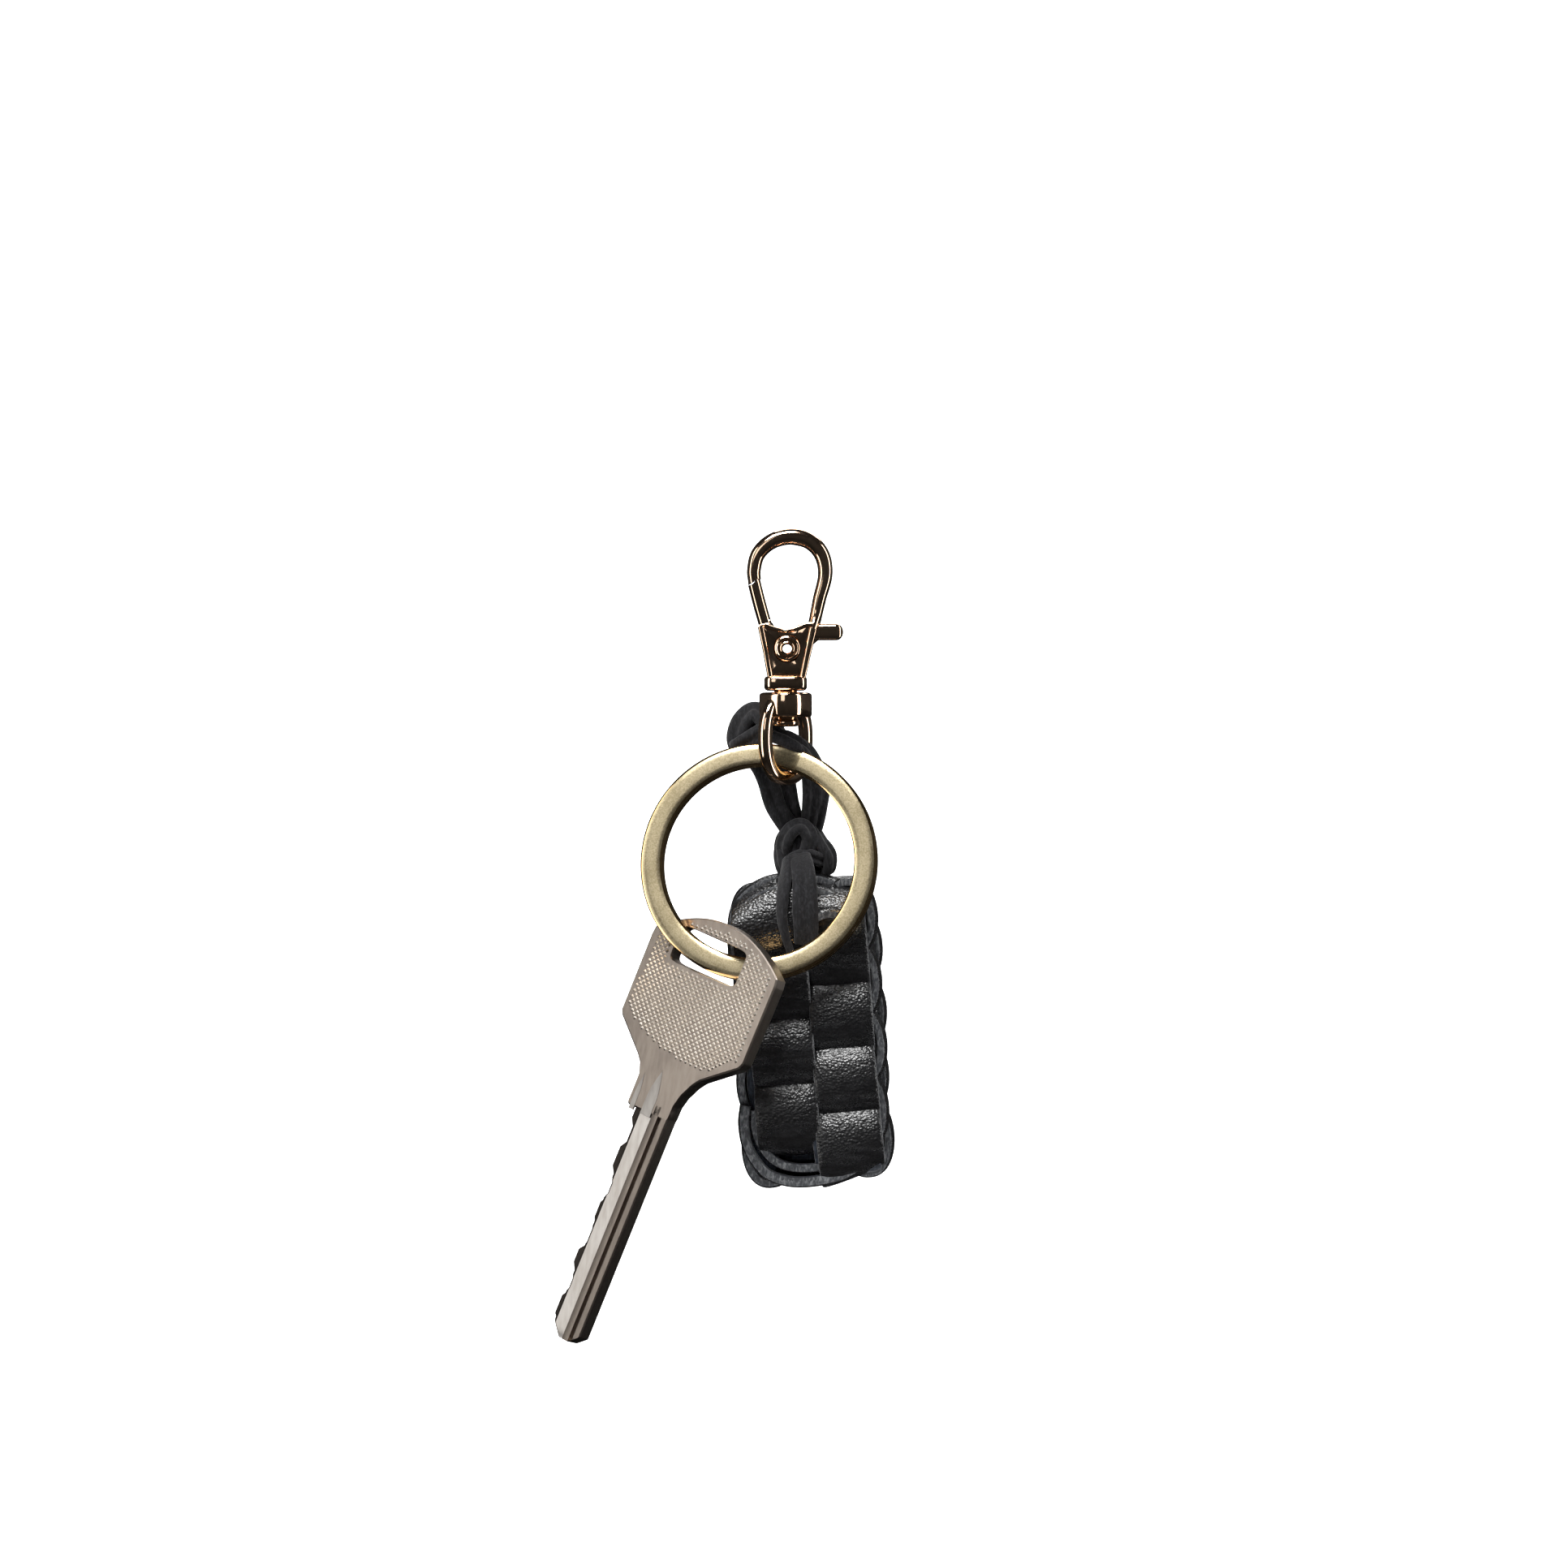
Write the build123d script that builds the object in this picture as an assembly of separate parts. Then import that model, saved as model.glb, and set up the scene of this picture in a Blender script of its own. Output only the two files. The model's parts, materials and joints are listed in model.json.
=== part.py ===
from build123d import *
import os
from math import cos, radians, sin, tan

# Key fob that hangs from a swivel clasp: clasp, split ring, door key and a braided leather fob.
# Millimetres. +Z up, +X right, +Y away from the front. The origin is the middle of the hook's
# top arc, which is where the object hangs.

# ---------------------------------------------------------------- driving dimensions
# Clasp
HOOK_X = 0.5                 # middle of the hook's arc
HOOK_OUTER_R = 5.45
HOOK_INNER_R = 3.65
HOOK_TIP = ((-4.79, -1.3), (-3.13, -0.4))    # outer and inner corner of the hook's slanted tip
HOOK_DEPTH = 2.5             # wire, front to back
BODY_DEPTH = 4.2             # the two cheeks and the slot between them
SLOT_DEPTH = 2.1             # the lever's slot
BODY_TOP = -7.0
BODY_BOTTOM = -13.0
COLLAR_HALF = 2.7
COLLAR_BOTTOM = -14.75
RIVET = (0.2, -9.5)          # X, Z of the lever's rivet
RIVET_R = 0.94
RIVET_HOLE_R = 0.58
RIVET_RIM_R = 1.64
RIVET_RIM_PROUD = 0.25
RUNNING_GAP = 0.05           # radial clearance of a turning fit
LEVER_THICKNESS = 1.1
LEVER_BACK = 0.15            # the plate's rear face, so that the spring fits behind it
GATE_DEPTH = 2.3
SPRING_R = 1.35
SPRING_WIRE_R = 0.14
SPRING_PITCH = 0.22

# Swivel
POST_R = 1.45
POST_TOP = -13.6
POST_HEAD_R = 1.75
POST_HEAD_Z = (-18.25, -19.3)
DRUM_HALF = 3.0
DRUM_Z = (-15.0, -18.15)
EYE_YAW = 50.0
EYE_WIRE_R = 0.83
EYE_HALF = 3.9               # half width of the eye, to the wire's middle
EYE_SHOULDER_Z = -16.0
EYE_BOTTOM_Z = -25.82        # middle of the wire at the bottom of the eye
EYE_BEND_R = 3.85
EYE_SHOULDER_R = 1.2

# Split ring
RING_OUTER_R = 15.0
RING_BAND = 2.8
RING_TURN = 0.95             # thickness of one turn
RING_GAP = 0.1
RING_STEP_ANGLE = 16.0       # arc over which a turn steps to the other level
RING_STEP_AT = 13.0          # step's place, clockwise from the ring's top
RING_SEAT = (0.2, 0.0, -23.3)   # middle of the band where it hangs in the eye
RING_SEAT_ANGLE = 13.6       # place of that point, clockwise from the ring's top
RING_YAW = -10.0
RING_TILT = -10.0
RING_EDGE = 0.16

# Door key
KEY_RING_ANGLE = 208.0       # where the key hangs on the ring, clockwise from the top
KEY_THICKNESS = 1.9
KEY_BOW_HALF = 10.8
KEY_SLOT = (11.4, 4.7)
KEY_SLOT_X = -0.9            # slot's middle, from the middle of the bow
KEY_SLOT_OFFSET = (2.0, 0.3)   # bow's middle, from the place where the band passes
KEY_BOW_TOP = 4.6            # above the slot's middle
KEY_BOW_SHOULDER = 0.8
KEY_BOW_SIDE = -10.9
KEY_BOW_BOTTOM = -14.8
KEY_NECK_HALF = 4.2
KEY_STOP_Z = -21.0
KEY_BLADE = (-3.0, 2.9)      # the blade's left and right edges
KEY_TIP_Z = -51.0
KEY_CUTS = [                 # depth of the cut edge from the blade's left side, and its Z
    (0.0, -22.4), (0.9, -23.7), (0.9, -25.1), (-0.1, -26.4), (-0.1, -28.7), (1.4, -30.7), (1.4, -32.2),
    (0.4, -33.6), (0.4, -35.6), (1.2, -37.1), (1.2, -38.8), (0.0, -40.1), (0.0, -41.8), (1.3, -43.7),
    (1.3, -45.0), (0.3, -46.2), (0.3, -48.6),
]
KEY_GROOVE_WIDTH = 1.3
KEY_GROOVE_DEPTH = 0.55
KEY_YAW = -40.0
KEY_TILT = 0.0
KEY_ROLL = 22.0

# Braided leather
FOB_MIDDLE = (2.7, 6.5, -57.3)
FOB_YAW = -3.0
FOB_LEAN = -3.9
CORE_HALF = 6.0
CORE_HALF_HEIGHT = 16.8
WRAP_THICKNESS = 2.0
WRAP_PITCH = 8.1
WRAP_HEIGHT = 7.6
WRAP_FIRST = 9.5             # middle of the highest wrap in a raised column
WRAP_ROWS = 4
CAP_HEIGHT = 2.2
KNOT_SIZE = (6.8, 6.4, 7.2)
KNOT_X, KNOT_Y = 1.2, -1.4    # knot's middle, from the braid's own axis
TAIL_WIDTH = 4.2
TAIL_THICKNESS = 1.1
TAIL_DROP = 10.2             # the tail's lower end, above the braid's middle

# Hanging lace
LACE_R = 0.8
LACE_ROUTE = [
    (1.2, 4.6, -32.4), (-0.4, 4.3, -28.6), (-2.6, 4.2, -25.2), (-4.9, 4.0, -22.4),
    (-5.6, 3.9, -19.6), (-4.4, 2.6, -18.9), (-2.4, 0.8, -20.2), (0.2, 0.1, -20.3),
    (2.5, 0.4, -20.8), (4.2, 1.7, -23.0), (4.7, 3.0, -26.4), (4.1, 4.2, -29.6), (2.8, 4.7, -32.4),
]


# ---------------------------------------------------------------- helpers
def plate(outline, depth, middle=0.0):
    """A closed outline in the XZ plane, given depth about the plane y = middle."""
    return Pos(0, middle, 0) * extrude(Plane.XZ * outline, depth / 2, both=True)


def polygon(points):
    """The face inside a closed run of straight edges."""
    return make_face(Polyline(*points, close=True))


def rod_y(radius, front, back, x=0.0, z=0.0):
    """A round rod along Y from front to back."""
    return Pos(x, (front + back) / 2, z) * Rot(90, 0, 0) * Cylinder(radius, back - front)


def rod_z(radius, bottom, top):
    """A round rod along Z from bottom to top."""
    return Pos(0, 0, (bottom + top) / 2) * Cylinder(radius, top - bottom)


def corner_radii(points, most=0.45):
    """The bend radius of each inner corner, from the shorter run beside it."""
    radii = []
    for before, here, after in zip(points, points[1:], points[2:]):
        run_in = Vector(*here) - Vector(*before)
        run_out = Vector(*after) - Vector(*here)
        turn = radians(run_in.get_angle(run_out))
        radii.append(most * min(run_in.length, run_out.length) / tan(turn / 2))
    return radii


def tube(points, radius, radii):
    """A round tube along straight runs joined by arcs."""
    path = FilletPolyline(*points, radius=radii)
    start = Plane(origin=path @ 0, z_dir=path % 0)
    return sweep(start * Circle(radius), path=path)


# ---------------------------------------------------------------- clasp
def make_hook_wire():
    """The hook's bent wire, from the body's right corner round to the slanted tip."""
    middle_r = (HOOK_OUTER_R + HOOK_INNER_R) / 2
    arc = CenterArc((HOOK_X, 0), middle_r, 0, 195)
    side = TangentArc((HOOK_X + middle_r, 0), (3.75, BODY_TOP - 0.2), tangent=(0, -1))
    section = RectangleRounded(HOOK_OUTER_R - HOOK_INNER_R, HOOK_DEPTH, 0.55)
    hook = None
    for run in (arc, side):
        path = Plane.XZ * run
        start = Plane(origin=path @ 0, x_dir=(1, 0, 0), z_dir=path % 0)
        piece = sweep(start * section, path=path)
        hook = piece if hook is None else hook + piece
    slope = (HOOK_TIP[1][1] - HOOK_TIP[0][1]) / (HOOK_TIP[1][0] - HOOK_TIP[0][0])
    low_x, high_x = HOOK_TIP[0][0] - 1.2, HOOK_TIP[1][0] + 1.2
    cut = polygon([(low_x, HOOK_TIP[0][1] - 1.2 * slope), (high_x, HOOK_TIP[1][1] + 1.2 * slope),
                   (high_x, -3.5), (low_x, -3.5)])
    return hook - plate(cut, 2 * HOOK_DEPTH)


def make_hook_frame():
    """The hook, the slotted body that holds the lever, and the collar that holds the swivel."""
    hook = make_hook_wire()
    corner = make_face([Line((1.2, BODY_TOP), (4.1, BODY_TOP)), Line((4.1, BODY_TOP), (4.1, -4.9)),
                        Line((4.1, -4.9), (3.35, -4.9)), ThreePointArc((3.35, -4.9), (2.8, -6.3), (1.2, BODY_TOP))])
    corner = plate(corner, HOOK_DEPTH - 0.5)
    body = plate(polygon([(-2.1, BODY_BOTTOM), (2.65, BODY_BOTTOM), (4.5, BODY_TOP), (-3.2, BODY_TOP)]),
                 BODY_DEPTH)
    body = chamfer(body.faces().filter_by(Axis.Y).edges(), 0.3)
    collar_height = BODY_BOTTOM - COLLAR_BOTTOM
    collar = Pos(0, 0, BODY_BOTTOM - collar_height / 2) * Box(2 * COLLAR_HALF, 2 * COLLAR_HALF, collar_height)
    collar = fillet(collar.edges().filter_by(Axis.Z), 0.9)
    collar = chamfer(collar.faces().filter_by(Axis.Z).edges(), 0.3)
    slot = plate(polygon([(-5, -5), (0.25, -5), (0.25, -7.5), (8, -7.5), (8, -11.6), (0.25, -12),
                          (-2.2, -11.2), (-5, -9.5)]), SLOT_DEPTH)
    frame = body + collar + corner - slot + (hook - slot)
    frame -= rod_y(RIVET_R, -BODY_DEPTH, BODY_DEPTH, *RIVET)
    frame -= rod_z(POST_R, COLLAR_BOTTOM - 1, POST_TOP)
    return frame


def make_pivot_rivet():
    half = BODY_DEPTH / 2
    rivet = rod_y(RIVET_R, -half, half, *RIVET)
    for front, back in ((-half - RIVET_RIM_PROUD, -half), (half, half + RIVET_RIM_PROUD)):
        rivet += rod_y(RIVET_RIM_R, front, back, *RIVET)
    rivet = fillet(rivet.edges().filter_by(GeomType.CIRCLE).group_by(Axis.Y)[0], 0.12)
    return rivet - rod_y(RIVET_HOLE_R, -BODY_DEPTH, BODY_DEPTH, *RIVET)


def make_gate_lever():
    """The gate, its hub on the rivet and the thumb tab, in one piece."""
    web = polygon([(-3.72, -6.35), (-2.0, -6.35), (-0.95, -7.7), (1.1, -7.85), (4.6, -7.62), (5.3, -7.9),
                   (5.3, -8.6), (1.6, -10.9), (-1.3, -10.8), (-2.2, -8.6), (-3.45, -7.2)])
    hub = Pos(*RIVET) * Circle(1.85)
    lever_middle = LEVER_BACK - LEVER_THICKNESS / 2
    lever = plate(web, LEVER_THICKNESS, lever_middle) + plate(hub, LEVER_THICKNESS, lever_middle)
    gate = plate(polygon([(-4.75, -1.70), (-3.3, -0.77), (-1.95, -6.2), (-3.75, -6.5)]), GATE_DEPTH)
    gate = chamfer(gate.faces().filter_by(Axis.Y).edges(), 0.35)
    tab_outline = polygon([(4.75, -7.5), (5.05, -6.4), (6.95, -6.3), (6.95, -8.4), (4.75, -8.8)])
    tab_outline = fillet(tab_outline.vertices().group_by(Axis.X)[-1], 0.95)
    tab = plate(tab_outline, GATE_DEPTH)
    tab = chamfer(tab.faces().filter_by(Axis.Y).edges(), 0.3)
    return lever + gate + tab - rod_y(RIVET_R + RUNNING_GAP, -BODY_DEPTH, BODY_DEPTH, *RIVET)


def make_lever_spring():
    """A small torsion spring round the rivet, behind the lever's plate, with its two legs."""
    front = LEVER_BACK + SPRING_WIRE_R + 0.08
    back = front + SPRING_PITCH
    at_rivet = Pos(RIVET[0], 0, RIVET[1])
    spring = at_rivet * Pos(SPRING_R, back, -1.15) * Cylinder(SPRING_WIRE_R, 2.3)
    spring += at_rivet * Pos(-0.85, front, SPRING_R) * Rot(0, 90, 0) * Cylinder(SPRING_WIRE_R, 1.7)
    for middle in (front, back):
        spring += at_rivet * Pos(0, middle, 0) * Rot(90, 0, 0) * Torus(SPRING_R, SPRING_WIRE_R)
    return spring


# ---------------------------------------------------------------- swivel
def make_swivel_post():
    top, bottom = POST_HEAD_Z
    post = rod_z(POST_R, top, POST_TOP)
    head = chamfer(rod_z(POST_HEAD_R, bottom, top).faces().sort_by(Axis.Z)[0].edges(), 0.35)
    return post + head


def make_swivel_eye():
    top, bottom = DRUM_Z
    drum = Pos(0, 0, (top + bottom) / 2) * Box(2 * DRUM_HALF, 2 * DRUM_HALF, top - bottom)
    drum = fillet(drum.edges().filter_by(Axis.Z), 1.3)
    drum = chamfer(drum.faces().filter_by(Axis.Z).edges(), 0.3)
    root = DRUM_HALF - 0.6
    points = [(-root, 0, EYE_SHOULDER_Z), (-EYE_HALF, 0, EYE_SHOULDER_Z), (-EYE_HALF, 0, EYE_BOTTOM_Z),
              (EYE_HALF, 0, EYE_BOTTOM_Z), (EYE_HALF, 0, EYE_SHOULDER_Z), (root, 0, EYE_SHOULDER_Z)]
    loop = tube(points, EYE_WIRE_R, [EYE_SHOULDER_R, EYE_BEND_R, EYE_BEND_R, EYE_SHOULDER_R])
    return Rot(0, 0, EYE_YAW) * (drum + loop - rod_z(POST_R + RUNNING_GAP, bottom - 1, top + 1))


# ---------------------------------------------------------------- split ring
def ring_place():
    """The ring's own frame: its middle at the origin, its axis along Y."""
    middle_r = RING_OUTER_R - RING_BAND / 2
    angle = radians(RING_SEAT_ANGLE)
    seat = Pos(middle_r * sin(angle), 0, middle_r * cos(angle))
    return Pos(*RING_SEAT) * Rot(0, 0, RING_YAW) * Rot(RING_TILT, 0, 0) * seat.inverse()


def make_split_ring():
    """Two flat turns, one behind the other, joined by a short slanting step."""
    half_gap, thick = RING_GAP / 2, RING_TURN
    band = Circle(RING_OUTER_R) - Circle(RING_OUTER_R - RING_BAND)
    half_step = radians(RING_STEP_ANGLE / 2)
    reach = 2 * RING_OUTER_R
    wedge = polygon([(0, 0), (-reach * sin(half_step), reach * cos(half_step)),
                     (reach * sin(half_step), reach * cos(half_step))])
    turns = []
    for middle in (-half_gap - thick / 2, half_gap + thick / 2):
        turn = plate(band, thick, middle)
        turn = chamfer(turn.edges().filter_by(GeomType.CIRCLE), RING_EDGE)
        turns.append(turn - plate(wedge, 4 * thick))
    half_run = RING_OUTER_R * sin(half_step)
    low, high = -half_gap - thick, half_gap
    slant = Polyline((-half_run, low), (-half_run, low + thick), (half_run, high + thick), (half_run, high),
                     close=True)
    step = extrude(make_face(slant), reach) & plate(wedge, 4 * thick) & plate(band, 4 * thick)
    ring = turns[0] + turns[1] + step
    return ring_place() * Rot(0, RING_STEP_AT, 0) * ring


# ---------------------------------------------------------------- door key
def key_place():
    """The key's own frame: the slot's middle at the origin, blade along -Z, flat faces on Y."""
    middle_r = RING_OUTER_R - RING_BAND / 2
    angle = radians(KEY_RING_ANGLE)
    crossing = ring_place() * Pos(middle_r * sin(angle), 0, middle_r * cos(angle))
    turn = Rot(0, KEY_ROLL, 0) * Rot(KEY_TILT, 0, 0) * Rot(0, 0, KEY_YAW)
    return Pos(*crossing.position) * turn * Pos(KEY_SLOT_OFFSET[0], 0, KEY_SLOT_OFFSET[1])


def key_outline():
    """The bow, the neck and the cut blade, as one closed outline."""
    left, right = KEY_BLADE
    neck = KEY_NECK_HALF
    edges = [
        ThreePointArc((-KEY_BOW_HALF, KEY_BOW_SHOULDER), (0, KEY_BOW_TOP), (KEY_BOW_HALF, KEY_BOW_SHOULDER)),
        Line((KEY_BOW_HALF, KEY_BOW_SHOULDER), (KEY_BOW_HALF, KEY_BOW_SIDE)),
        Line((KEY_BOW_HALF, KEY_BOW_SIDE), (neck + 1.5, KEY_BOW_BOTTOM)),
        ThreePointArc((neck + 1.5, KEY_BOW_BOTTOM), (neck + 0.35, KEY_BOW_BOTTOM - 0.9),
                      (neck, KEY_BOW_BOTTOM - 2.3)),
    ]
    cuts = [(left + depth, z) for depth, z in KEY_CUTS]
    corners = [(neck, KEY_BOW_BOTTOM - 2.3), (right, KEY_STOP_Z), (right, KEY_TIP_Z + 1.2),
               (right - 1.6, KEY_TIP_Z), (left + 2.8, KEY_TIP_Z)] + cuts[::-1]
    corners += [(left, KEY_STOP_Z), (-neck, KEY_STOP_Z), (-neck, KEY_BOW_BOTTOM - 2.3),
                (-neck - 1.5, KEY_BOW_BOTTOM), (-KEY_BOW_HALF, KEY_BOW_SIDE), (-KEY_BOW_HALF, KEY_BOW_SHOULDER)]
    edges += [Line(a, b) for a, b in zip(corners, corners[1:])]
    return make_face(edges)


def make_door_key():
    key = plate(key_outline(), KEY_THICKNESS)
    key = key - Pos(KEY_SLOT_X, 0, 0) * Box(KEY_SLOT[0], 2 * KEY_THICKNESS, KEY_SLOT[1])
    face = KEY_THICKNESS / 2
    length = KEY_STOP_Z + 3.0 - KEY_TIP_Z
    middle_z = KEY_TIP_Z + length / 2 - 0.5
    right = KEY_BLADE[1]
    grooves = [(right - 2.2, -face), (right - 1.2, face), (right - 3.4, face)]
    for x, y in grooves:
        key -= Pos(x, y, middle_z) * Box(KEY_GROOVE_WIDTH, 2 * KEY_GROOVE_DEPTH, length)
    return key_place() * key


# ---------------------------------------------------------------- braided leather
def fob_place():
    """The braid's own frame: its middle at the origin, the front face on -Y."""
    return Pos(*FOB_MIDDLE) * Rot(0, 0, FOB_YAW) * Rot(0, FOB_LEAN, 0)


def make_braid_core():
    core = Box(2 * CORE_HALF, 2 * CORE_HALF, 2 * CORE_HALF_HEIGHT)
    return fob_place() * core


def make_wraps(turn, width, raised_first):
    """The two columns of wraps on one face of the braid, half a pitch apart."""
    wraps = []
    for column, side in enumerate((-1, 1)):
        raised = (column == 0) == raised_first
        first = WRAP_FIRST + (WRAP_PITCH / 2 if raised else 0)
        for row in range(WRAP_ROWS):
            pad = Box(width - 0.1, WRAP_THICKNESS, WRAP_HEIGHT)
            outer = pad.faces().sort_by(Axis.Y)[0].edges().filter_by(Axis.X)
            pad = fillet(outer, 1.6)
            place = Pos(side * width / 2, -CORE_HALF - WRAP_THICKNESS / 2, first - row * WRAP_PITCH)
            wraps.append(fob_place() * Rot(0, 0, turn) * place * pad)
    return Compound(children=wraps)


def make_cap(sign):
    """The crossed laces at one end of the braid."""
    cap = Pos(0, 0, sign * (CORE_HALF_HEIGHT + CAP_HEIGHT / 2)) * Box(2 * CORE_HALF, 2 * CORE_HALF, CAP_HEIGHT)
    end = cap.faces().sort_by(Axis.Z)[-1 if sign > 0 else 0]
    return fob_place() * fillet(end.edges(), 1.2)


def knot_body():
    knot = Pos(KNOT_X, KNOT_Y, CORE_HALF_HEIGHT + CAP_HEIGHT + KNOT_SIZE[2] / 2) * Box(*KNOT_SIZE)
    return fillet(knot.edges().filter_by(Axis.Z), 2.0)


def make_lace_knot():
    knot = knot_body()
    knot = fillet(knot.faces().sort_by(Axis.Z)[-1].edges(), 1.8)
    return fob_place() * knot


def make_strap_tail():
    """The flat end that leaves the knot forwards and hangs down the braid's front."""
    top = CORE_HALF_HEIGHT + CAP_HEIGHT + 0.4
    front = -CORE_HALF - WRAP_THICKNESS - 0.05
    outline = polygon([(-3.0, top + TAIL_THICKNESS), (front + 0.6, top + TAIL_THICKNESS - 0.2),
                       (front - TAIL_THICKNESS, top - 1.4), (front - TAIL_THICKNESS, TAIL_DROP),
                       (front, TAIL_DROP), (front, top - 1.6), (front + 1.0, top - 0.3), (-3.0, top)])
    strap = extrude(Plane.YZ * outline, TAIL_WIDTH / 2, both=True)
    return fob_place() * (strap - knot_body())


def make_hanging_lace():
    """The lace's loop, from the knot, through the swivel's eye and back to the knot."""
    radii = corner_radii(LACE_ROUTE)
    lace = tube(LACE_ROUTE, LACE_R, radii)
    print("lace radii", [round(r, 2) for r in radii])
    return lace - make_lace_knot()


# ---------------------------------------------------------------- output
def main():
    os.makedirs("parts", exist_ok=True)
    side = CORE_HALF - 0.05
    nodes = {
        "hook_frame": make_hook_frame(),
        "pivot_rivet": make_pivot_rivet(),
        "gate_lever": make_gate_lever(),
        "lever_spring": make_lever_spring(),
        "swivel_post": make_swivel_post(),
        "swivel_eye": make_swivel_eye(),
        "split_ring": make_split_ring(),
        "door_key": make_door_key(),
        "braid_core": make_braid_core(),
        "front_wraps": make_wraps(0, CORE_HALF + WRAP_THICKNESS, True),
        "right_wraps": make_wraps(90, side, True),
        "back_wraps": make_wraps(180, CORE_HALF + WRAP_THICKNESS, True),
        "left_wraps": make_wraps(270, side, True),
        "top_crossing": make_cap(1),
        "bottom_crossing": make_cap(-1),
        "lace_knot": make_lace_knot(),
        "strap_tail": make_strap_tail(),
        "hanging_lace": make_hanging_lace(),
    }
    for name, shape in nodes.items():
        export_step(shape, f"parts/{name}.step")


if __name__ == "__main__":
    main()
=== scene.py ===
import json
import math

import bpy
import numpy as np
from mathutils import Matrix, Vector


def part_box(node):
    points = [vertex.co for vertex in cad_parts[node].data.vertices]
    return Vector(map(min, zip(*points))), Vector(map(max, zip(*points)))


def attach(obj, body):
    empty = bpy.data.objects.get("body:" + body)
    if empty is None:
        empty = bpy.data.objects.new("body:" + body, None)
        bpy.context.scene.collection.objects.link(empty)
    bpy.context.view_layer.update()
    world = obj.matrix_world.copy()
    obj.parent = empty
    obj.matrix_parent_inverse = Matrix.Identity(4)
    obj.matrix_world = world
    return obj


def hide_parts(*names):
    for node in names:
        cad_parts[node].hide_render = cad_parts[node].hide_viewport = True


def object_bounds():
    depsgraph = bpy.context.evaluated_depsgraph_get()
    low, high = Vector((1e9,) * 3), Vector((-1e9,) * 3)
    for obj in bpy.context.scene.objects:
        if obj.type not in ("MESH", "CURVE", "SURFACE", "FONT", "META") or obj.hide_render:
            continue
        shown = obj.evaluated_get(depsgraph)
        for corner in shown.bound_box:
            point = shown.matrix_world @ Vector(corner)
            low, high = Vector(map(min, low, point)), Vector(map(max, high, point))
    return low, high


bl_info = {
    "name": "Braided Key Fob",
    "version": (1, 0, 0),
    "blender": (4, 5, 0),
    "location": "View3D > Sidebar > Key Fob",
    "description": "Clasp, split ring, door key and braided leather fob around a fixed frame",
    "category": "Object",
}

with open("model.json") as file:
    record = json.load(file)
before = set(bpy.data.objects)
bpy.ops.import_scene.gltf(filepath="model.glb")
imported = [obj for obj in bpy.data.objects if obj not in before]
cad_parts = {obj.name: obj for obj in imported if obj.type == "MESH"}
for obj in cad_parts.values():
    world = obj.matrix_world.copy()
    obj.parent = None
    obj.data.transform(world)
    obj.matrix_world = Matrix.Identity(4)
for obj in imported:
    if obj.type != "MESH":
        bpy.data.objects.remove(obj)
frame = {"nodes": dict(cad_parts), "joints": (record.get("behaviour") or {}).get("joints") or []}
CAD_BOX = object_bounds()

MM = 0.001
UP = np.array([0.0, 0.0, 1.0])
BACK = np.array([0.0, 1.0, 0.0])


# ------------------------------------------------------------------ numbers and frames
def turn_about(axis, degrees):
    """A 3 by 3 rotation about one of the axes x, y or z, by the right-hand rule."""
    c, s = math.cos(math.radians(degrees)), math.sin(math.radians(degrees))
    if axis == "x":
        return np.array([[1, 0, 0], [0, c, -s], [0, s, c]])
    if axis == "y":
        return np.array([[c, 0, s], [0, 1, 0], [-s, 0, c]])
    return np.array([[c, -s, 0], [s, c, 0], [0, 0, 1]])


def placed(points, rotation, origin):
    """Points in a piece's own frame, turned and then moved into the object's frame."""
    return points @ rotation.T + origin


def node_middle(name):
    """The middle of a CAD node's box, in millimetres."""
    low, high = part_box(name)
    return (np.array(low) + np.array(high)) / 2 / MM


def joint_point(name):
    """A joint's point, in millimetres."""
    joint = next(j for j in frame["joints"] if j["name"] == name)
    return np.array(joint["pos_m"]) / MM


def unit(vectors):
    """Each vector divided by its own length."""
    return vectors / np.maximum(np.linalg.norm(vectors, axis=-1, keepdims=True), 1e-12)


def smooth(x):
    """The smooth step 3x^2 - 2x^3, held at 0 and 1 outside the unit interval."""
    x = np.clip(x, 0, 1)
    return x * x * (3 - 2 * x)


def spline(points, count):
    """A Catmull-Rom curve through the points: each span is the cubic whose end slopes are half the
    chord between the neighbours on either side. Returns count points, evenly spaced by length."""
    p = np.asarray(points, float)
    padded = np.vstack([2 * p[0] - p[1], p, 2 * p[-1] - p[-2]])
    spans = len(p) - 1
    t = np.linspace(0, spans, spans * 40 + 1)
    i = np.minimum(t.astype(int), spans - 1)
    f = (t - i)[:, None]
    a, b, c, d = padded[i], padded[i + 1], padded[i + 2], padded[i + 3]
    curve = 0.5 * (2 * b + (c - a) * f + (2 * a - 5 * b + 4 * c - d) * f**2 + (3 * b - a - 3 * c + d) * f**3)
    length = np.concatenate([[0], np.cumsum(np.linalg.norm(np.diff(curve, axis=0), axis=1))])
    even = np.linspace(0, length[-1], count)
    return np.stack([np.interp(even, length, curve[:, k]) for k in range(curve.shape[1])], axis=1)


def closed_curve(points, count):
    """The same kind of curve, closed: three laps are drawn and the middle one is kept."""
    p = np.asarray(points, float)
    path = spline(np.vstack([p, p, p, p[:1]]), 3 * count + 1)
    return path[count:2 * count]


def superellipse(width, height, power, count):
    """A closed rounded outline: |2x/width|^power + |2y/height|^power = 1, by angle."""
    angle = np.linspace(0, 2 * np.pi, count, endpoint=False) + np.pi / count
    c, s = np.cos(angle), np.sin(angle)
    radius = (np.abs(c) ** power + np.abs(s) ** power) ** (-1 / power)
    return np.stack([width / 2 * c * radius, height / 2 * s * radius], axis=1)


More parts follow.
